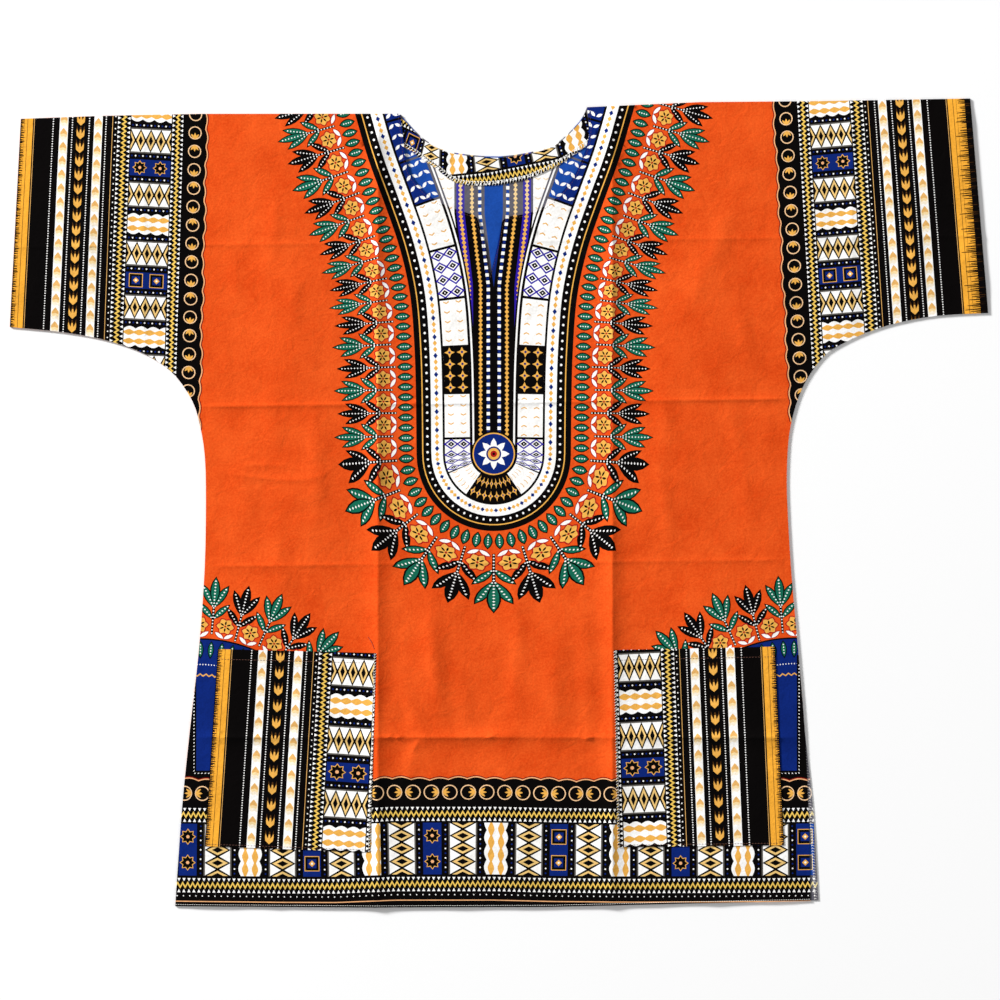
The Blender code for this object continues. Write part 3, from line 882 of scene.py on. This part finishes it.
def quarter_sun(prnt, middle, side, strip_side):
    """A blue field with hanging teal leaves and a fringe of sprigs, at the side seam over a pocket."""
    band = Band(sun_edge(middle, side), inward=-side)
    round_part = math.radians(SUN_TURN) * SUN_RADIUS
    fringe(prnt, band, 6.0, round_part, 1.0, 1.12)
    seam_side = middle.x - side * 60.0
    for ink, depth, foot in (("black", 0.0, SUN_FOOT), ("navy", 1.8, SUN_FIELD_FOOT)):
        ring = [(spot[0], max(spot[1], foot)) for spot in band.place([(m, depth) for m in band.marks])]
        prnt.lay(ink, ON_CLOTH, [*ring, (seam_side, foot), (seam_side, middle.y)])
    for along in spaced(2.0, round_part, 13.0):
        dotted_leaf(prnt, band, (along, 2.6), 0.0, (21.0, 4.1), (17.0, 2.9, 1.8), (5.0, 17.0, 3.2))
    lay_rows(prnt, band, 0.0, round_part, SUN_ROWS)
    outer, inner, top = strip_side, strip_side - side * 70.0, middle.y + 140.0
    prnt.lay("black", ON_CLOTH, [(outer, SUN_FOOT), (outer, top), (inner, top), (inner, SUN_FOOT)])
    outer, foot = strip_side - side * 2.6, SUN_FIELD_FOOT - 3.0
    dotted = Band([(outer, middle.y + 130.0), (outer, foot), (middle.x + side * 60.0, foot)])
    lay_rows(prnt, dotted, 0.0, dotted.length, [SUN_DOTS])


def shirt_print():
    """All that is printed on the cloth of the front and the back."""
    prnt = Print("orange")
    quarter_sun(prnt, Spot(-341.0, -314.0), 1, -345.0)
    quarter_sun(prnt, Spot(337.0, -313.0), -1, 339.4)
    neck_yoke(prnt)
    hem_border(prnt, Band(HEM_PRINT), 0.0, 770.0)
    left = Band([LEFT_CUFF_TOP, LEFT_SIDE[0]], fan=SLEEVE_FAN)
    right = Band([RIGHT_CUFF_TOP, RIGHT_SIDE[0]], inward=-1, fan=SLEEVE_FAN)
    selvedge_border(prnt, left, -26.0, 352.0, first=7, top=-28.0)
    selvedge_border(prnt, right, -26.0, 352.0, comb=12.0, first=7, top=-17.0)
    return prnt


def pocket_print(corners, side):
    prnt = Print("black")
    top, foot = (corners[0], corners[1]) if side > 0 else (corners[3], corners[2])
    band = Band([top, foot], inward=side, scale=1.042, fan=0.00008)
    selvedge_border(prnt, band, -5.0, 240.0, first=6, stretch=1.17, top=0.5)
    return prnt


FACING_PRINT = (
    (-165.0, 372.0), (-112.0, 347.0), (-70.0, 340.0), (-8.0, 346.0), (70.0, 361.0), (155.0, 388.0))


def facing_print():
    """The facing is cut across the border, so its blocks run along the neck."""
    prnt, band = Print("black"), Band(FACING_PRINT)
    lay_rows(prnt, band, 0.0, 300.0, braid((17.0, 20.5), (19.5, 28.0), (30.5, 27.0), 5.2, 3.2))
    lay_blocks(prnt, band, 0.0, 320.0, 33.0, 74.0, 1.15, 4)
    lay_rows(prnt, band, 0.0, 300.0, braid((76.0, 79.5), (78.5, 86.0), (89.0, 85.5), 5.2, 2.8))
    return prnt


# ---------------- cloth shells

# A side of a panel. Its lines are the fine sharp ones that its points follow beside the pressed folds;
# None where they follow neither
Side = namedtuple("Side", "print rise step lines", defaults=(None,))
LATTICE_ROW = 0.87      # share of a lattice's step from one of its rows to the next
MERGE = 0.002           # points nearer than this become one
MAP_SHARE = 0.985       # of the map's width that a piece's long side takes
MAP_MARGIN = 0.006


def inside(outline, points):
    """Which points lie inside a closed outline."""
    x, y = points[:, 0], points[:, 1]
    result = np.zeros(len(points), dtype=bool)
    for (ax, ay), (bx, by) in zip(outline, np.roll(outline, -1, axis=0)):
        crosses = (ay > y) != (by > y)
        if by != ay:
            result ^= crosses & (x < (bx - ax) * (y - ay) / (by - ay) + ax)
    return result


def lattice(outline, taken, step):
    """Points of a staggered lattice inside an outline, clear of the places already taken."""
    low, high = outline.min(axis=0), outline.max(axis=0)
    rows = np.arange(low[1], high[1], step * LATTICE_ROW)
    x, y = np.meshgrid(np.arange(low[0], high[0], step), rows)
    x[1::2] += step / 2.0
    spots = np.column_stack([x.ravel(), y.ravel()])
    spots = spots[inside(outline, spots)]
    busy = set()
    for offset in ((0, 0), (1, 0), (-1, 0), (0, 1), (0, -1)):
        busy.update(map(tuple, (np.floor(taken / CLEARANCE).astype(int) + offset).tolist()))
    return [spot for spot, cell in zip(spots.tolist(), np.floor(spots / CLEARANCE).astype(int).tolist())
            if tuple(cell) not in busy]


def fold_guides(outline, lines):
    """Lines along and beside the pressed folds and the fine sharp lines, to keep their crests crisp."""
    low, high = outline.min(axis=0), outline.max(axis=0)
    guides = []
    for offset in GUIDES:
        for fold in UPRIGHT_FOLDS:
            if low[0] < fold.place < high[0]:
                guides.append([(fold.place + offset, y) for y in np.arange(low[1], high[1], GUIDE_STEP)])
        for fold in LEVEL_FOLDS:
            if low[1] < fold.place < high[1]:
                guides.append([(x, fold.place + fold.tilt * x + offset)
                               for x in np.arange(low[0], high[0], GUIDE_STEP)])
    for band in [Band(through(line.path, 4)) for line in lines]:
        guides += [band.place([(mark, offset) for mark in band.marks]).tolist()
                   for offset in (-LINE_WIDTH, 0.0, LINE_WIDTH)]
    return guides


def seen_shapes(outline, shapes):
    """The printed shapes that lie at least in part inside an outline."""
    if not shapes:
        return []
    starts = np.cumsum([0] + [len(shape) for ink, shape in shapes[:-1]])
    seen = np.logical_or.reduceat(inside(outline, np.vstack([shape for ink, shape in shapes])), starts)
    return [printed for printed, kept in zip(shapes, seen) if kept]


def divide(outline, prnt, step=None, guides=()):
    """Cuts a side of a panel into triangles along its print. Returns points, triangles and inks."""
    shapes = seen_shapes(outline, prnt.shapes)
    points = [tuple(point) for point in outline]
    faces = [list(range(len(points)))]
    edges = []
    for ink, shape in shapes:
        faces.append(list(range(len(points), len(points) + len(shape))))
        points.extend(map(tuple, shape))
    for guide in guides:
        spots = np.array(guide)
        gaps = np.hypot(*(spots[:, None] - outline[None]).T).min(axis=0)
        kept = inside(outline, spots) & (gaps > EDGE_ROOM)
        for k in range(len(guide) - 1):
            if kept[k] and kept[k + 1]:
                edges.append((len(points), len(points) + 1))
                points.extend((guide[k], guide[k + 1]))
    if step:
        taken = [between for line in (outline, *guides) for between in fine(line, CLEARANCE)]
        points.extend(lattice(outline, np.array(points + taken), step))
    found = delaunay_2d_cdt([Vector(point) for point in points], edges, faces, 0, MERGE, True)
    vertices, triangles, sources = found[0], found[2], found[5]
    inks = [prnt.ground] + [ink for ink, shape in shapes]
    kept = [(triangle, inks[max(source)]) for triangle, source in zip(triangles, sources) if 0 in source]
    used = sorted({corner for triangle, ink in kept for corner in triangle})
    number = {old: new for new, old in enumerate(used)}
    return (np.array([vertices[old][:] for old in used]),
            [[number[corner] for corner in triangle] for triangle, ink in kept],
            [ink for triangle, ink in kept])


def rim_of(triangles):
    """The corners round the edge of a side, in order, with the side's triangles on the left."""
    forward = {(start, end): number for number, triangle in enumerate(triangles)
               for start, end in zip(triangle, triangle[1:] + triangle[:1])}
    after = {start: (end, number) for (start, end), number in forward.items()
             if (end, start) not in forward}
    first = next(iter(after))
    rim, owners = [first], [after[first][1]]
    while after[rim[-1]][0] != first:
        rim.append(after[rim[-1]][0])
        owners.append(after[rim[-1]][1])
    return rim, owners


def shared_rim(outline, *sides):
    """The outline with a point wherever the print of a side crosses it."""
    for side in sides * 2:
        boxes = np.array([(shape.min(axis=0), shape.max(axis=0)) for ink, shape in side.print.shapes]
                         or [((0.0, 0.0), (0.0, 0.0))])
        low, high = boxes[:, 0] - OUTLINE_STEP, boxes[:, 1] + OUTLINE_STEP
        near = np.zeros(len(boxes), dtype=bool)
        for spot in outline:
            near |= np.all((low < spot) & (spot < high), axis=1)
        crossing = Print("orange")
        crossing.shapes = [shape for shape, kept in zip(side.print.shapes, near) if kept]
        points, triangles, inks = divide(outline, crossing)
        outline = points[rim_of(triangles)[0]]
    return outline


def bake_places(points, upper):
    """Places of points on the piece's own map: the upper side large, the lower one small beside it."""
    low = points[:, :2].min(axis=0)
    spans = points[:, :2].max(axis=0) - low
    scale = MAP_SHARE / spans.max()
    places = (points[:, :2] - low) * scale
    shrink = (1.0 - spans.min() * scale - 3.0 * MAP_MARGIN) / (spans.min() * scale)
    small = places * shrink + MAP_MARGIN
    small[:, int(np.argmin(spans))] += spans.min() * scale + MAP_MARGIN
    return np.where(upper[:, None], places + MAP_MARGIN, small)


def new_mesh(name, points, faces):
    mesh = bpy.data.meshes.new(name)
    mesh.from_pydata((points * MM).tolist(), [], faces)
    mesh.polygons.foreach_set("use_smooth", [True] * len(faces))
    return mesh


def new_object(name, data):
    thing = bpy.data.objects.new(name, data)
    bpy.context.scene.collection.objects.link(thing)
    return thing


def mark_rim_sharp(mesh, first_rim_face):
    """Keeps the shading of the flat sides apart from that of the thin edge."""
    sharp = set()
    for polygon in mesh.polygons[first_rim_face:]:
        a, b, c, d = polygon.vertices
        sharp.update((tuple(sorted((a, b))), tuple(sorted((c, d)))))
    flags = [tuple(sorted(edge.vertices)) in sharp for edge in mesh.edges]
    mesh.attributes.new("sharp_edge", "BOOLEAN", "EDGE").data.foreach_set("value", flags)


def cloth_piece(name, outline, level, upper, lower):
    """A thin closed shell with its two sides on the given level and heights in millimetres."""
    outline = shared_rim(np.array(fine(outline, OUTLINE_STEP)), upper, lower)
    guides = [[] if side.lines is None else fold_guides(outline, side.lines) for side in (upper, lower)]
    top, top_triangles, top_inks = divide(outline, upper.print, upper.step, guides[0])
    base, base_triangles, base_inks = divide(outline, lower.print, lower.step, guides[1])
    rim, owners = rim_of(top_triangles)
    base_rim = rim_of(base_triangles)[0]
    first = int(np.argmin(np.hypot(*(base[base_rim] - top[rim[0]]).T)))
    base_rim = base_rim[first:] + base_rim[:first]
    if len(rim) != len(base_rim):
        raise ValueError(f"the two sides of {name} don't meet: {len(rim)} and {len(base_rim)} rim points")
    top_height = upper.rise(top[:, 0], top[:, 1]) + level + CLOTH
    base_height = lower.rise(base[:, 0], base[:, 1]) + level
    points = np.vstack([np.column_stack([top, top_height]), np.column_stack([base, base_height])])
    faces = [*top_triangles, *[[corner + len(top) for corner in reversed(t)] for t in base_triangles]]
    below = [corner + len(top) for corner in base_rim]
    faces.extend([a, b, c, d] for a, b, c, d in zip(below, below[1:] + below[:1], rim[1:] + rim[:1], rim))
    inks = [*top_inks, *base_inks, *[top_inks[owner] for owner in owners]]
    mesh = new_mesh(name, points, faces)
    order = {ink: k for k, ink in enumerate(sorted(set(inks)))}
    for ink in order:
        mesh.materials.append(COTTON[ink])
    mesh.polygons.foreach_set("material_index", [order[ink] for ink in inks])
    mark_rim_sharp(mesh, len(top_triangles) + len(base_triangles))
    corners = np.empty(len(mesh.loops), dtype=np.int32)
    mesh.loops.foreach_get("vertex_index", corners)
    counts = [3 * len(top_triangles), 3 * len(base_triangles), 4 * len(rim)]
    on_upper_map = np.repeat([True, False, True], counts)
    layer = mesh.uv_layers.new(name="OFBake")
    layer.uv.foreach_set("vector", bake_places(points[corners], on_upper_map).ravel().tolist())
    return new_object(name, mesh)


# ---------------- finishes

INKS = {                # as printed, and as it shows, paler, on the cloth's other side
    "orange": ("#DE551C", "#EE8A5C"), "black": ("#050303", "#5F5D66"), "gold": ("#E8AC4E", "#EBCB92"),
    "amber": ("#F0A836", "#EDC78A"), "yellow": ("#EAC25C", "#E9D79A"), "straw": ("#E8C178", "#F0DFB8"),
    "tan": ("#E3AF66", "#EAD2AE"), "ash": ("#5E5A55", "#8E8C90"), "maroon": ("#7A120C", "#A0605A"),
    "bronze": ("#553412", "#9A7C62"), "pale gold": ("#F2D6A0", "#F2E4CC"), "cream": ("#F6E8D2", "#F2EADF"),
    "pale peach": ("#F0C596", "#EDD5BE"), "white": ("#F8F6F2", "#F2F1EF"), "navy": ("#0A2470", "#1A489E"),
    "teal": ("#14654F", "#5E9F8F"), "red": ("#A5191A", "#B75A55"), "peach": ("#EDAE7A", "#EBC9AE"),
    "purple": ("#2C1B9A", "#3F379E")}
DEEP_INKS = {           # where the dye lies thicker
    "orange": "#D2430F", "white": "#EBE8E3", "faded white": "#E6E4E2"}
DEEP_SHARE = 0.84       # of an ink's own light, for the other inks
THIN_SHARE = 1.12       # the same where the dye lies thinner
INK_CLOUD = 45.0        # sizes of the unevenness of the ink, and of the cloth's small crumples
INK_SPECKLE = 2.2
CRUMPLE = 16.0
COTTON_THREAD = 0.5     # from one thread of the cotton to the next
THREAD_TURN = 0.4       # from one turn of the sewing thread to the next
COTTON_LOOKS = {
    "Roughness": 0.84, "Specular IOR Level": 0.04, "Sheen Weight": 0.005, "Sheen Roughness": 0.5}
THREAD_LOOKS = {"Roughness": 0.62, "Specular IOR Level": 0.3, "Sheen Weight": 0.2}


def linear(code):
    """An sRGB hex colour as linear red, green, blue and alpha."""
    parts = [int(code[k:k + 2], 16) / 255.0 for k in (1, 3, 5)]
    return tuple(p / 12.92 if p <= 0.04045 else ((p + 0.055) / 1.055) ** 2.4 for p in parts) + (1.0,)


def shaded(colour, share):
    return tuple(min(channel * share, 1.0) for channel in colour[:3]) + (1.0,)


def new_finish(name, looks):
    """A material with the given inputs of its main shader. Returns it, its nodes and that shader."""
    material = bpy.data.materials.new(name)
    material.use_nodes = True
    shader = material.node_tree.nodes["Principled BSDF"]
    for socket, value in looks.items():
        shader.inputs[socket].default_value = value
    return material, material.node_tree, shader


def add_node(tree, kind, links=(), **settings):
    """Adds a node; settings are its properties or inputs, links its sockets' sources."""
    node = tree.nodes.new(kind)
    for key, value in settings.items():
        if hasattr(node, key):
            setattr(node, key, value)
        else:
            node.inputs[key.replace("_", " ").title()].default_value = value
    for socket, source in links:
        tree.links.new(source, node.inputs[socket])
    return node


def noise(tree, place, size, **settings):
    """Cloudy unevenness of a size in millimetres."""
    return add_node(tree, "ShaderNodeTexNoise", [("Vector", place)], scale=1.0 / (size * MM),
                    **settings).outputs["Fac"]


def waves(tree, place, spacing, direction, distortion):
    """Parallel ridges with a spacing in millimetres."""
    return add_node(tree, "ShaderNodeTexWave", [("Vector", place)], bands_direction=direction,
                    scale=math.tau / (20.0 * spacing * MM), distortion=distortion).outputs["Fac"]


def total(tree, one, other):
    return add_node(tree, "ShaderNodeMath", [(0, one), (1, other)], operation="ADD").outputs[0]


def printed_cotton(name, code, deep):
    """Plain-woven cotton, dyed by wax-style printing and pressed: matt, with a faint nap, slightly
    uneven ink and the fine grain of its threads."""
    material, tree, shader = new_finish("printed cotton " + name, COTTON_LOOKS)
    place = add_node(tree, "ShaderNodeTexCoord").outputs["Object"]
    uneven = total(tree, noise(tree, place, INK_CLOUD, detail=3.0, roughness=0.55),
                   noise(tree, place, INK_SPECKLE, detail=2.0, roughness=0.6))
    tone = add_node(tree, "ShaderNodeMapRange", [("Value", uneven)], from_min=0.7, from_max=1.3)
    mix = add_node(tree, "ShaderNodeMix", [("Factor", tone.outputs["Result"])], data_type="RGBA")
    mix.inputs[6].default_value = linear(deep) if deep else shaded(linear(code), DEEP_SHARE)
    mix.inputs[7].default_value = shaded(linear(code), THIN_SHARE)
    tree.links.new(mix.outputs[2], shader.inputs["Base Color"])
    weave = total(tree, *[waves(tree, place, COTTON_THREAD, way, 0.4) for way in ("X", "Y")])
    crumple = noise(tree, place, CRUMPLE, detail=4.0, roughness=0.55, distortion=0.6)
    grain = add_node(tree, "ShaderNodeBump", [("Height", weave)], strength=0.25, distance=0.05 * MM)
    soft = add_node(tree, "ShaderNodeBump", [("Height", crumple), ("Normal", grain.outputs[0])],
                    strength=0.6, distance=1.6 * MM)
    tree.links.new(soft.outputs[0], shader.inputs["Normal"])
    return material


def sewing_thread(name, code):
    """Spun polyester thread, twisted: fuzzy and matt with a faint sheen, its turns hardly to be seen."""
    material, tree, shader = new_finish("spun polyester thread " + name,
                                        {"Base Color": linear(code), **THREAD_LOOKS})
    place = add_node(tree, "ShaderNodeTexCoord").outputs["Object"]
    turns = waves(tree, place, THREAD_TURN, "DIAGONAL", 1.0)
    bump = add_node(tree, "ShaderNodeBump", [("Height", turns)], strength=0.4, distance=0.08 * MM)
    tree.links.new(bump.outputs[0], shader.inputs["Normal"])
    return material


COTTON = {name: printed_cotton(name, code, DEEP_INKS.get(name)) for ink, codes in INKS.items()
          for name, code in zip((ink, "faded " + ink), codes)}
THREADS = {name: sewing_thread(name, code) for name, code in
           (("white", "#F1EEE8"), ("brown", "#5A2C16"), ("red", "#7E1410"))}

# ---------------- the shirt

# Where the cloth's wrong side shows: in the neck, in the right slit and under the right arm.
# The left, right, lower and upper side of each
WINDOWS = ((-130.0, 125.0, 250.0, 430.0), (335.0, 400.0, -470.0, -240.0), (325.0, 420.0, 60.0, 215.0))


def wrong_side(prnt, *windows):
    """The same print as it shows, paler, on the cloth's other side, kept only where it is open to view."""
    kept = set()
    for left, right, foot, top in windows:
        window = np.array([(left, foot), (right, foot), (right, top), (left, top)])
        kept.update(id(shape) for ink, shape in seen_shapes(window, prnt.shapes))
    paler = Print("orange", faded=True)
    paler.shapes = [(paler.ink(ink), shape) for ink, shape in prnt.shapes if id(shape) in kept]
    return paler


def lay_cloth(node, outline, level, upper, lower):
    """The cloth that replaces a node."""
    piece = cloth_piece(node + "_cloth", outline, level, upper, lower)
    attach(piece, "root")
    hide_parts(node)


def lay_shirt():
    prnt = shirt_print()
    plain = wrong_side(prnt)
    lay_cloth("back", panel_outline(through(BACK_NECK), RIGHT_SLIT_BACK), BACK_LEVEL,
              Side(wrong_side(prnt, *WINDOWS), back_rise, LINING_STEP), Side(prnt, flat, FLAT_STEP))
    lay_cloth("front", panel_outline(front_neck(), RIGHT_SLIT_FRONT), FRONT_LEVEL,
              Side(prnt, creased_rise, FINE_STEP, SHARP_LINES), Side(plain, lining_rise, LINING_STEP))
    lay_cloth("back_neck_facing", facing_outline(), FACING_LEVEL,
              Side(facing_print(), back_rise, FINE_STEP), Side(plain, back_rise, FINE_STEP))
    for node, corners, side in (("pocket_left", LEFT_POCKET, 1), ("pocket_right", RIGHT_POCKET, -1)):
        lay_cloth(node, corners, POCKET_LEVEL,
                  Side(pocket_print(corners, side), front_rise, FINE_STEP, ()),
                  Side(plain, front_rise, FINE_STEP, ()))


bpy.ops.object.select_all(action="DESELECT")
lay_shirt()

# ---------------- sewing

TOPSTITCH = 3.4         # from one stitch of a seam to the next; drawn a little long so that it shows
THREAD = 0.24           # radius of the sewing thread
FINE_THREAD = 0.16      # of the thread round the neck
SLIT_THREAD = 0.2
OVERLOCK_THREAD = 0.42  # of the three threads that lie together on the facing's overlocked edge
THREAD_ARCH = 0.5       # height of the loose thread end over the cloth
STITCH_SHARE = 0.36     # half the length of a stitch, as a share of its row's pitch
STITCH_LIFTS = (-0.12, 0.14, -0.12)     # of its start, middle and end over the cloth
OVERLOCK_LEAN = 0.3     # half the slant of an overlock thread, as a share of the pitch
OVERLOCK_LIFTS = (0.05, 0.25, -0.5)     # of its inner end, middle and outer end
Bar = namedtuple("Bar", "inner outer")
LOOSE_THREAD = ((-149.5, -152.5), (-147.0, -155.5), (-144.5, -160.0), (-142.8, -164.5), (-141.9, -166.5))


def thread_piece(name, strands, colour, radius=THREAD):
    """One mesh of many short threads, each a four-sided tube through its own points."""
    points, faces = [], []
    for strand in map(np.array, strands):
        for k, spot in enumerate(strand):
            ahead = strand[min(k + 1, len(strand) - 1)] - strand[max(k - 1, 0)]
            ahead = ahead / np.linalg.norm(ahead)
            aside = np.cross(ahead, (0.0, 0.0, 1.0))
            aside = aside / np.linalg.norm(aside)
            over = np.cross(aside, ahead)
            at = len(points)
            if k:
                faces.extend([at - 4 + j, at - 4 + (j + 1) % 4, at + (j + 1) % 4, at + j] for j in range(4))
            points.extend(spot + radius * arm for arm in (aside, over, -aside, -over))
        last = len(points)
        first = last - 4 * len(strand)
        faces.append([first + 3, first + 2, first + 1, first])
        faces.append([last - 4, last - 3, last - 2, last - 1])
    mesh = new_mesh(name, np.array(points), faces)
    mesh.materials.append(THREADS[colour])
    piece = new_object(name, mesh)
    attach(piece, "root")


def on_front(x, y):
    return front_rise(x, y) + FRONT_LEVEL + CLOTH


def on_back(x, y):
    return back_rise(x, y) + BACK_LEVEL + CLOTH


def on_pocket(x, y):
    return on_front(x, y) + CLOTH + AIR


def on_facing(x, y):
    return on_back(x, y) + CLOTH + AIR


def lay_threads(band, spots, lifts, surface):
    """Threads through spots given as (along, across), each spot lifted off the cloth by its own amount."""
    shape = np.shape(spots)
    places = band.place(np.reshape(spots, (-1, 2)))
    heights = surface(places[:, 0], places[:, 1]).reshape(shape[:2]) + np.array(lifts)
    return list(np.dstack([places.reshape(shape), heights]))


def seam_stitches(band, across, surface, pitch=TOPSTITCH):
    """Short stitches in a row, each sunk into the cloth at its ends."""
    reach = pitch * STITCH_SHARE
    spots = [[(along - reach, across), (along, across), (along + reach, across)]
             for along in spaced(0.0, band.length, pitch)]
    return lay_threads(band, spots, STITCH_LIFTS, surface)


def overlock_stitches(band, bar, surface, pitch):
    """Threads that run slanting over a cut edge, with a row of stitches along their inner ends."""
    middle, lean = (bar.inner + bar.outer) / 2.0, pitch * OVERLOCK_LEAN
    spots = [[(along - lean, bar.inner), (along, middle), (along + lean, bar.outer)]
             for along in spaced(0.0, band.length, pitch)]
    return (lay_threads(band, spots, OVERLOCK_LIFTS, surface)
            + seam_stitches(band, bar.inner, surface, pitch))


def sew_pocket(node, corners, inner):
    """White stitches down a pocket's inner edge, and brown rows round its other edges."""
    edges = [Band([corners[k], corners[(k + 1) % 4]]) for k in range(4)]
    white = overlock_stitches(edges[inner], Bar(1.7, -0.7), on_pocket, 3.2)
    thread_piece(node + "_overlock", white, "white")
    brown = seam_stitches(edges[3], 11.5, on_pocket)
    for edge in (edges[1], edges[2 - inner]):
        brown += seam_stitches(edge, 2.4, on_pocket)
    thread_piece(node + "_stitches", brown, "brown")


def sew_shirt():
    """Overlocked edges in white, fine rows along the neck and the hem, and one thread end left over."""
    facing = Band(through(FACING_LOWER_EDGE, 6), inward=-1)
    thread_piece("facing_overlock", overlock_stitches(facing, Bar(4.4, -0.4), on_facing, 3.4), "white",
                 OVERLOCK_THREAD)
    neck = Band(front_neck(), inward=-1)
    thread_piece("neck_stitches", seam_stitches(neck, 2.2, on_front, 3.0), "brown", FINE_THREAD)
    sew_pocket("pocket_left", LEFT_POCKET, 2)
    sew_pocket("pocket_right", RIGHT_POCKET, 0)
    hem = Band([LEFT_SIDE[-1], *HEM, RIGHT_SLIT_FRONT[-1]])
    thread_piece("hem_stitches", seam_stitches(hem, 1.9, on_front, 2.6), "white")
    slit = Band(through([*RIGHT_SIDE[-2:], *RIGHT_SLIT_BACK])[3:], inward=-1)
    thread_piece("slit_overlock", overlock_stitches(slit, Bar(4.2, -0.3), on_back, 3.2), "white",
                 SLIT_THREAD)
    x, y = np.array(through(LOOSE_THREAD, 4)).T
    heights = on_front(x, y) + THREAD + 0.1 + THREAD_ARCH * np.sin(np.linspace(0.0, math.pi, len(x)))
    thread_piece("loose_thread", [np.column_stack([x, y, heights])], "red")


sew_shirt()

# ---------------- floor, light and camera

CAMERA_HEIGHT = 6.0     # measures of this part are in metres, those of the view's middle in millimetres
VIEW_WIDTH = 1.14
VIEW_MIDDLE = Spot(1.14, 3.42)
SENSOR_WIDTH = 36.0
FLOOR_SIZE = 60.0
FLOOR_GAP = 0.0004      # from the floor up to the shirt


def make_floor():
    bpy.ops.mesh.primitive_plane_add(size=FLOOR_SIZE, location=(0.0, 0.0, -FLOOR_GAP))
    floor = bpy.context.object
    floor.name = "floor"
    looks = {"Base Color": (0.9, 0.9, 0.9, 1.0), "Roughness": 0.9}
    floor.data.materials.append(new_finish("matt white paper", looks)[0])


def add_light(name, place, size, watts):
    """A square soft light that looks at the shirt's middle."""
    data = bpy.data.lights.new(name, "AREA")
    data.shape = "SQUARE"
    data.size = size
    data.energy = watts
    light = new_object(name, data)
    light.location = place
    light.rotation_euler = (-Vector(place)).to_track_quat("-Z", "Y").to_euler()


def make_camera():
    data = bpy.data.cameras.new("camera")
    data.sensor_width = SENSOR_WIDTH
    data.lens = SENSOR_WIDTH * CAMERA_HEIGHT / VIEW_WIDTH
    data.clip_end = 100.0
    camera = new_object("camera", data)
    camera.location = (VIEW_MIDDLE.x * MM, VIEW_MIDDLE.y * MM, CAMERA_HEIGHT)
    bpy.context.scene.camera = camera


def make_world():
    world = bpy.data.worlds.new("studio")
    world.use_nodes = True
    background = world.node_tree.nodes["Background"]
    background.inputs["Color"].default_value = (1.0, 1.0, 1.0, 1.0)
    background.inputs["Strength"].default_value = 0.36
    bpy.context.scene.world = world
    bpy.context.scene.view_settings.view_transform = "Standard"


make_floor()
add_light("window light", (-9.3, 6.9, 4.65), 2.25, 2830.0)
add_light("fill light", (3.4, -2.2, 4.0), 3.0, 46.0)
make_camera()
make_world()
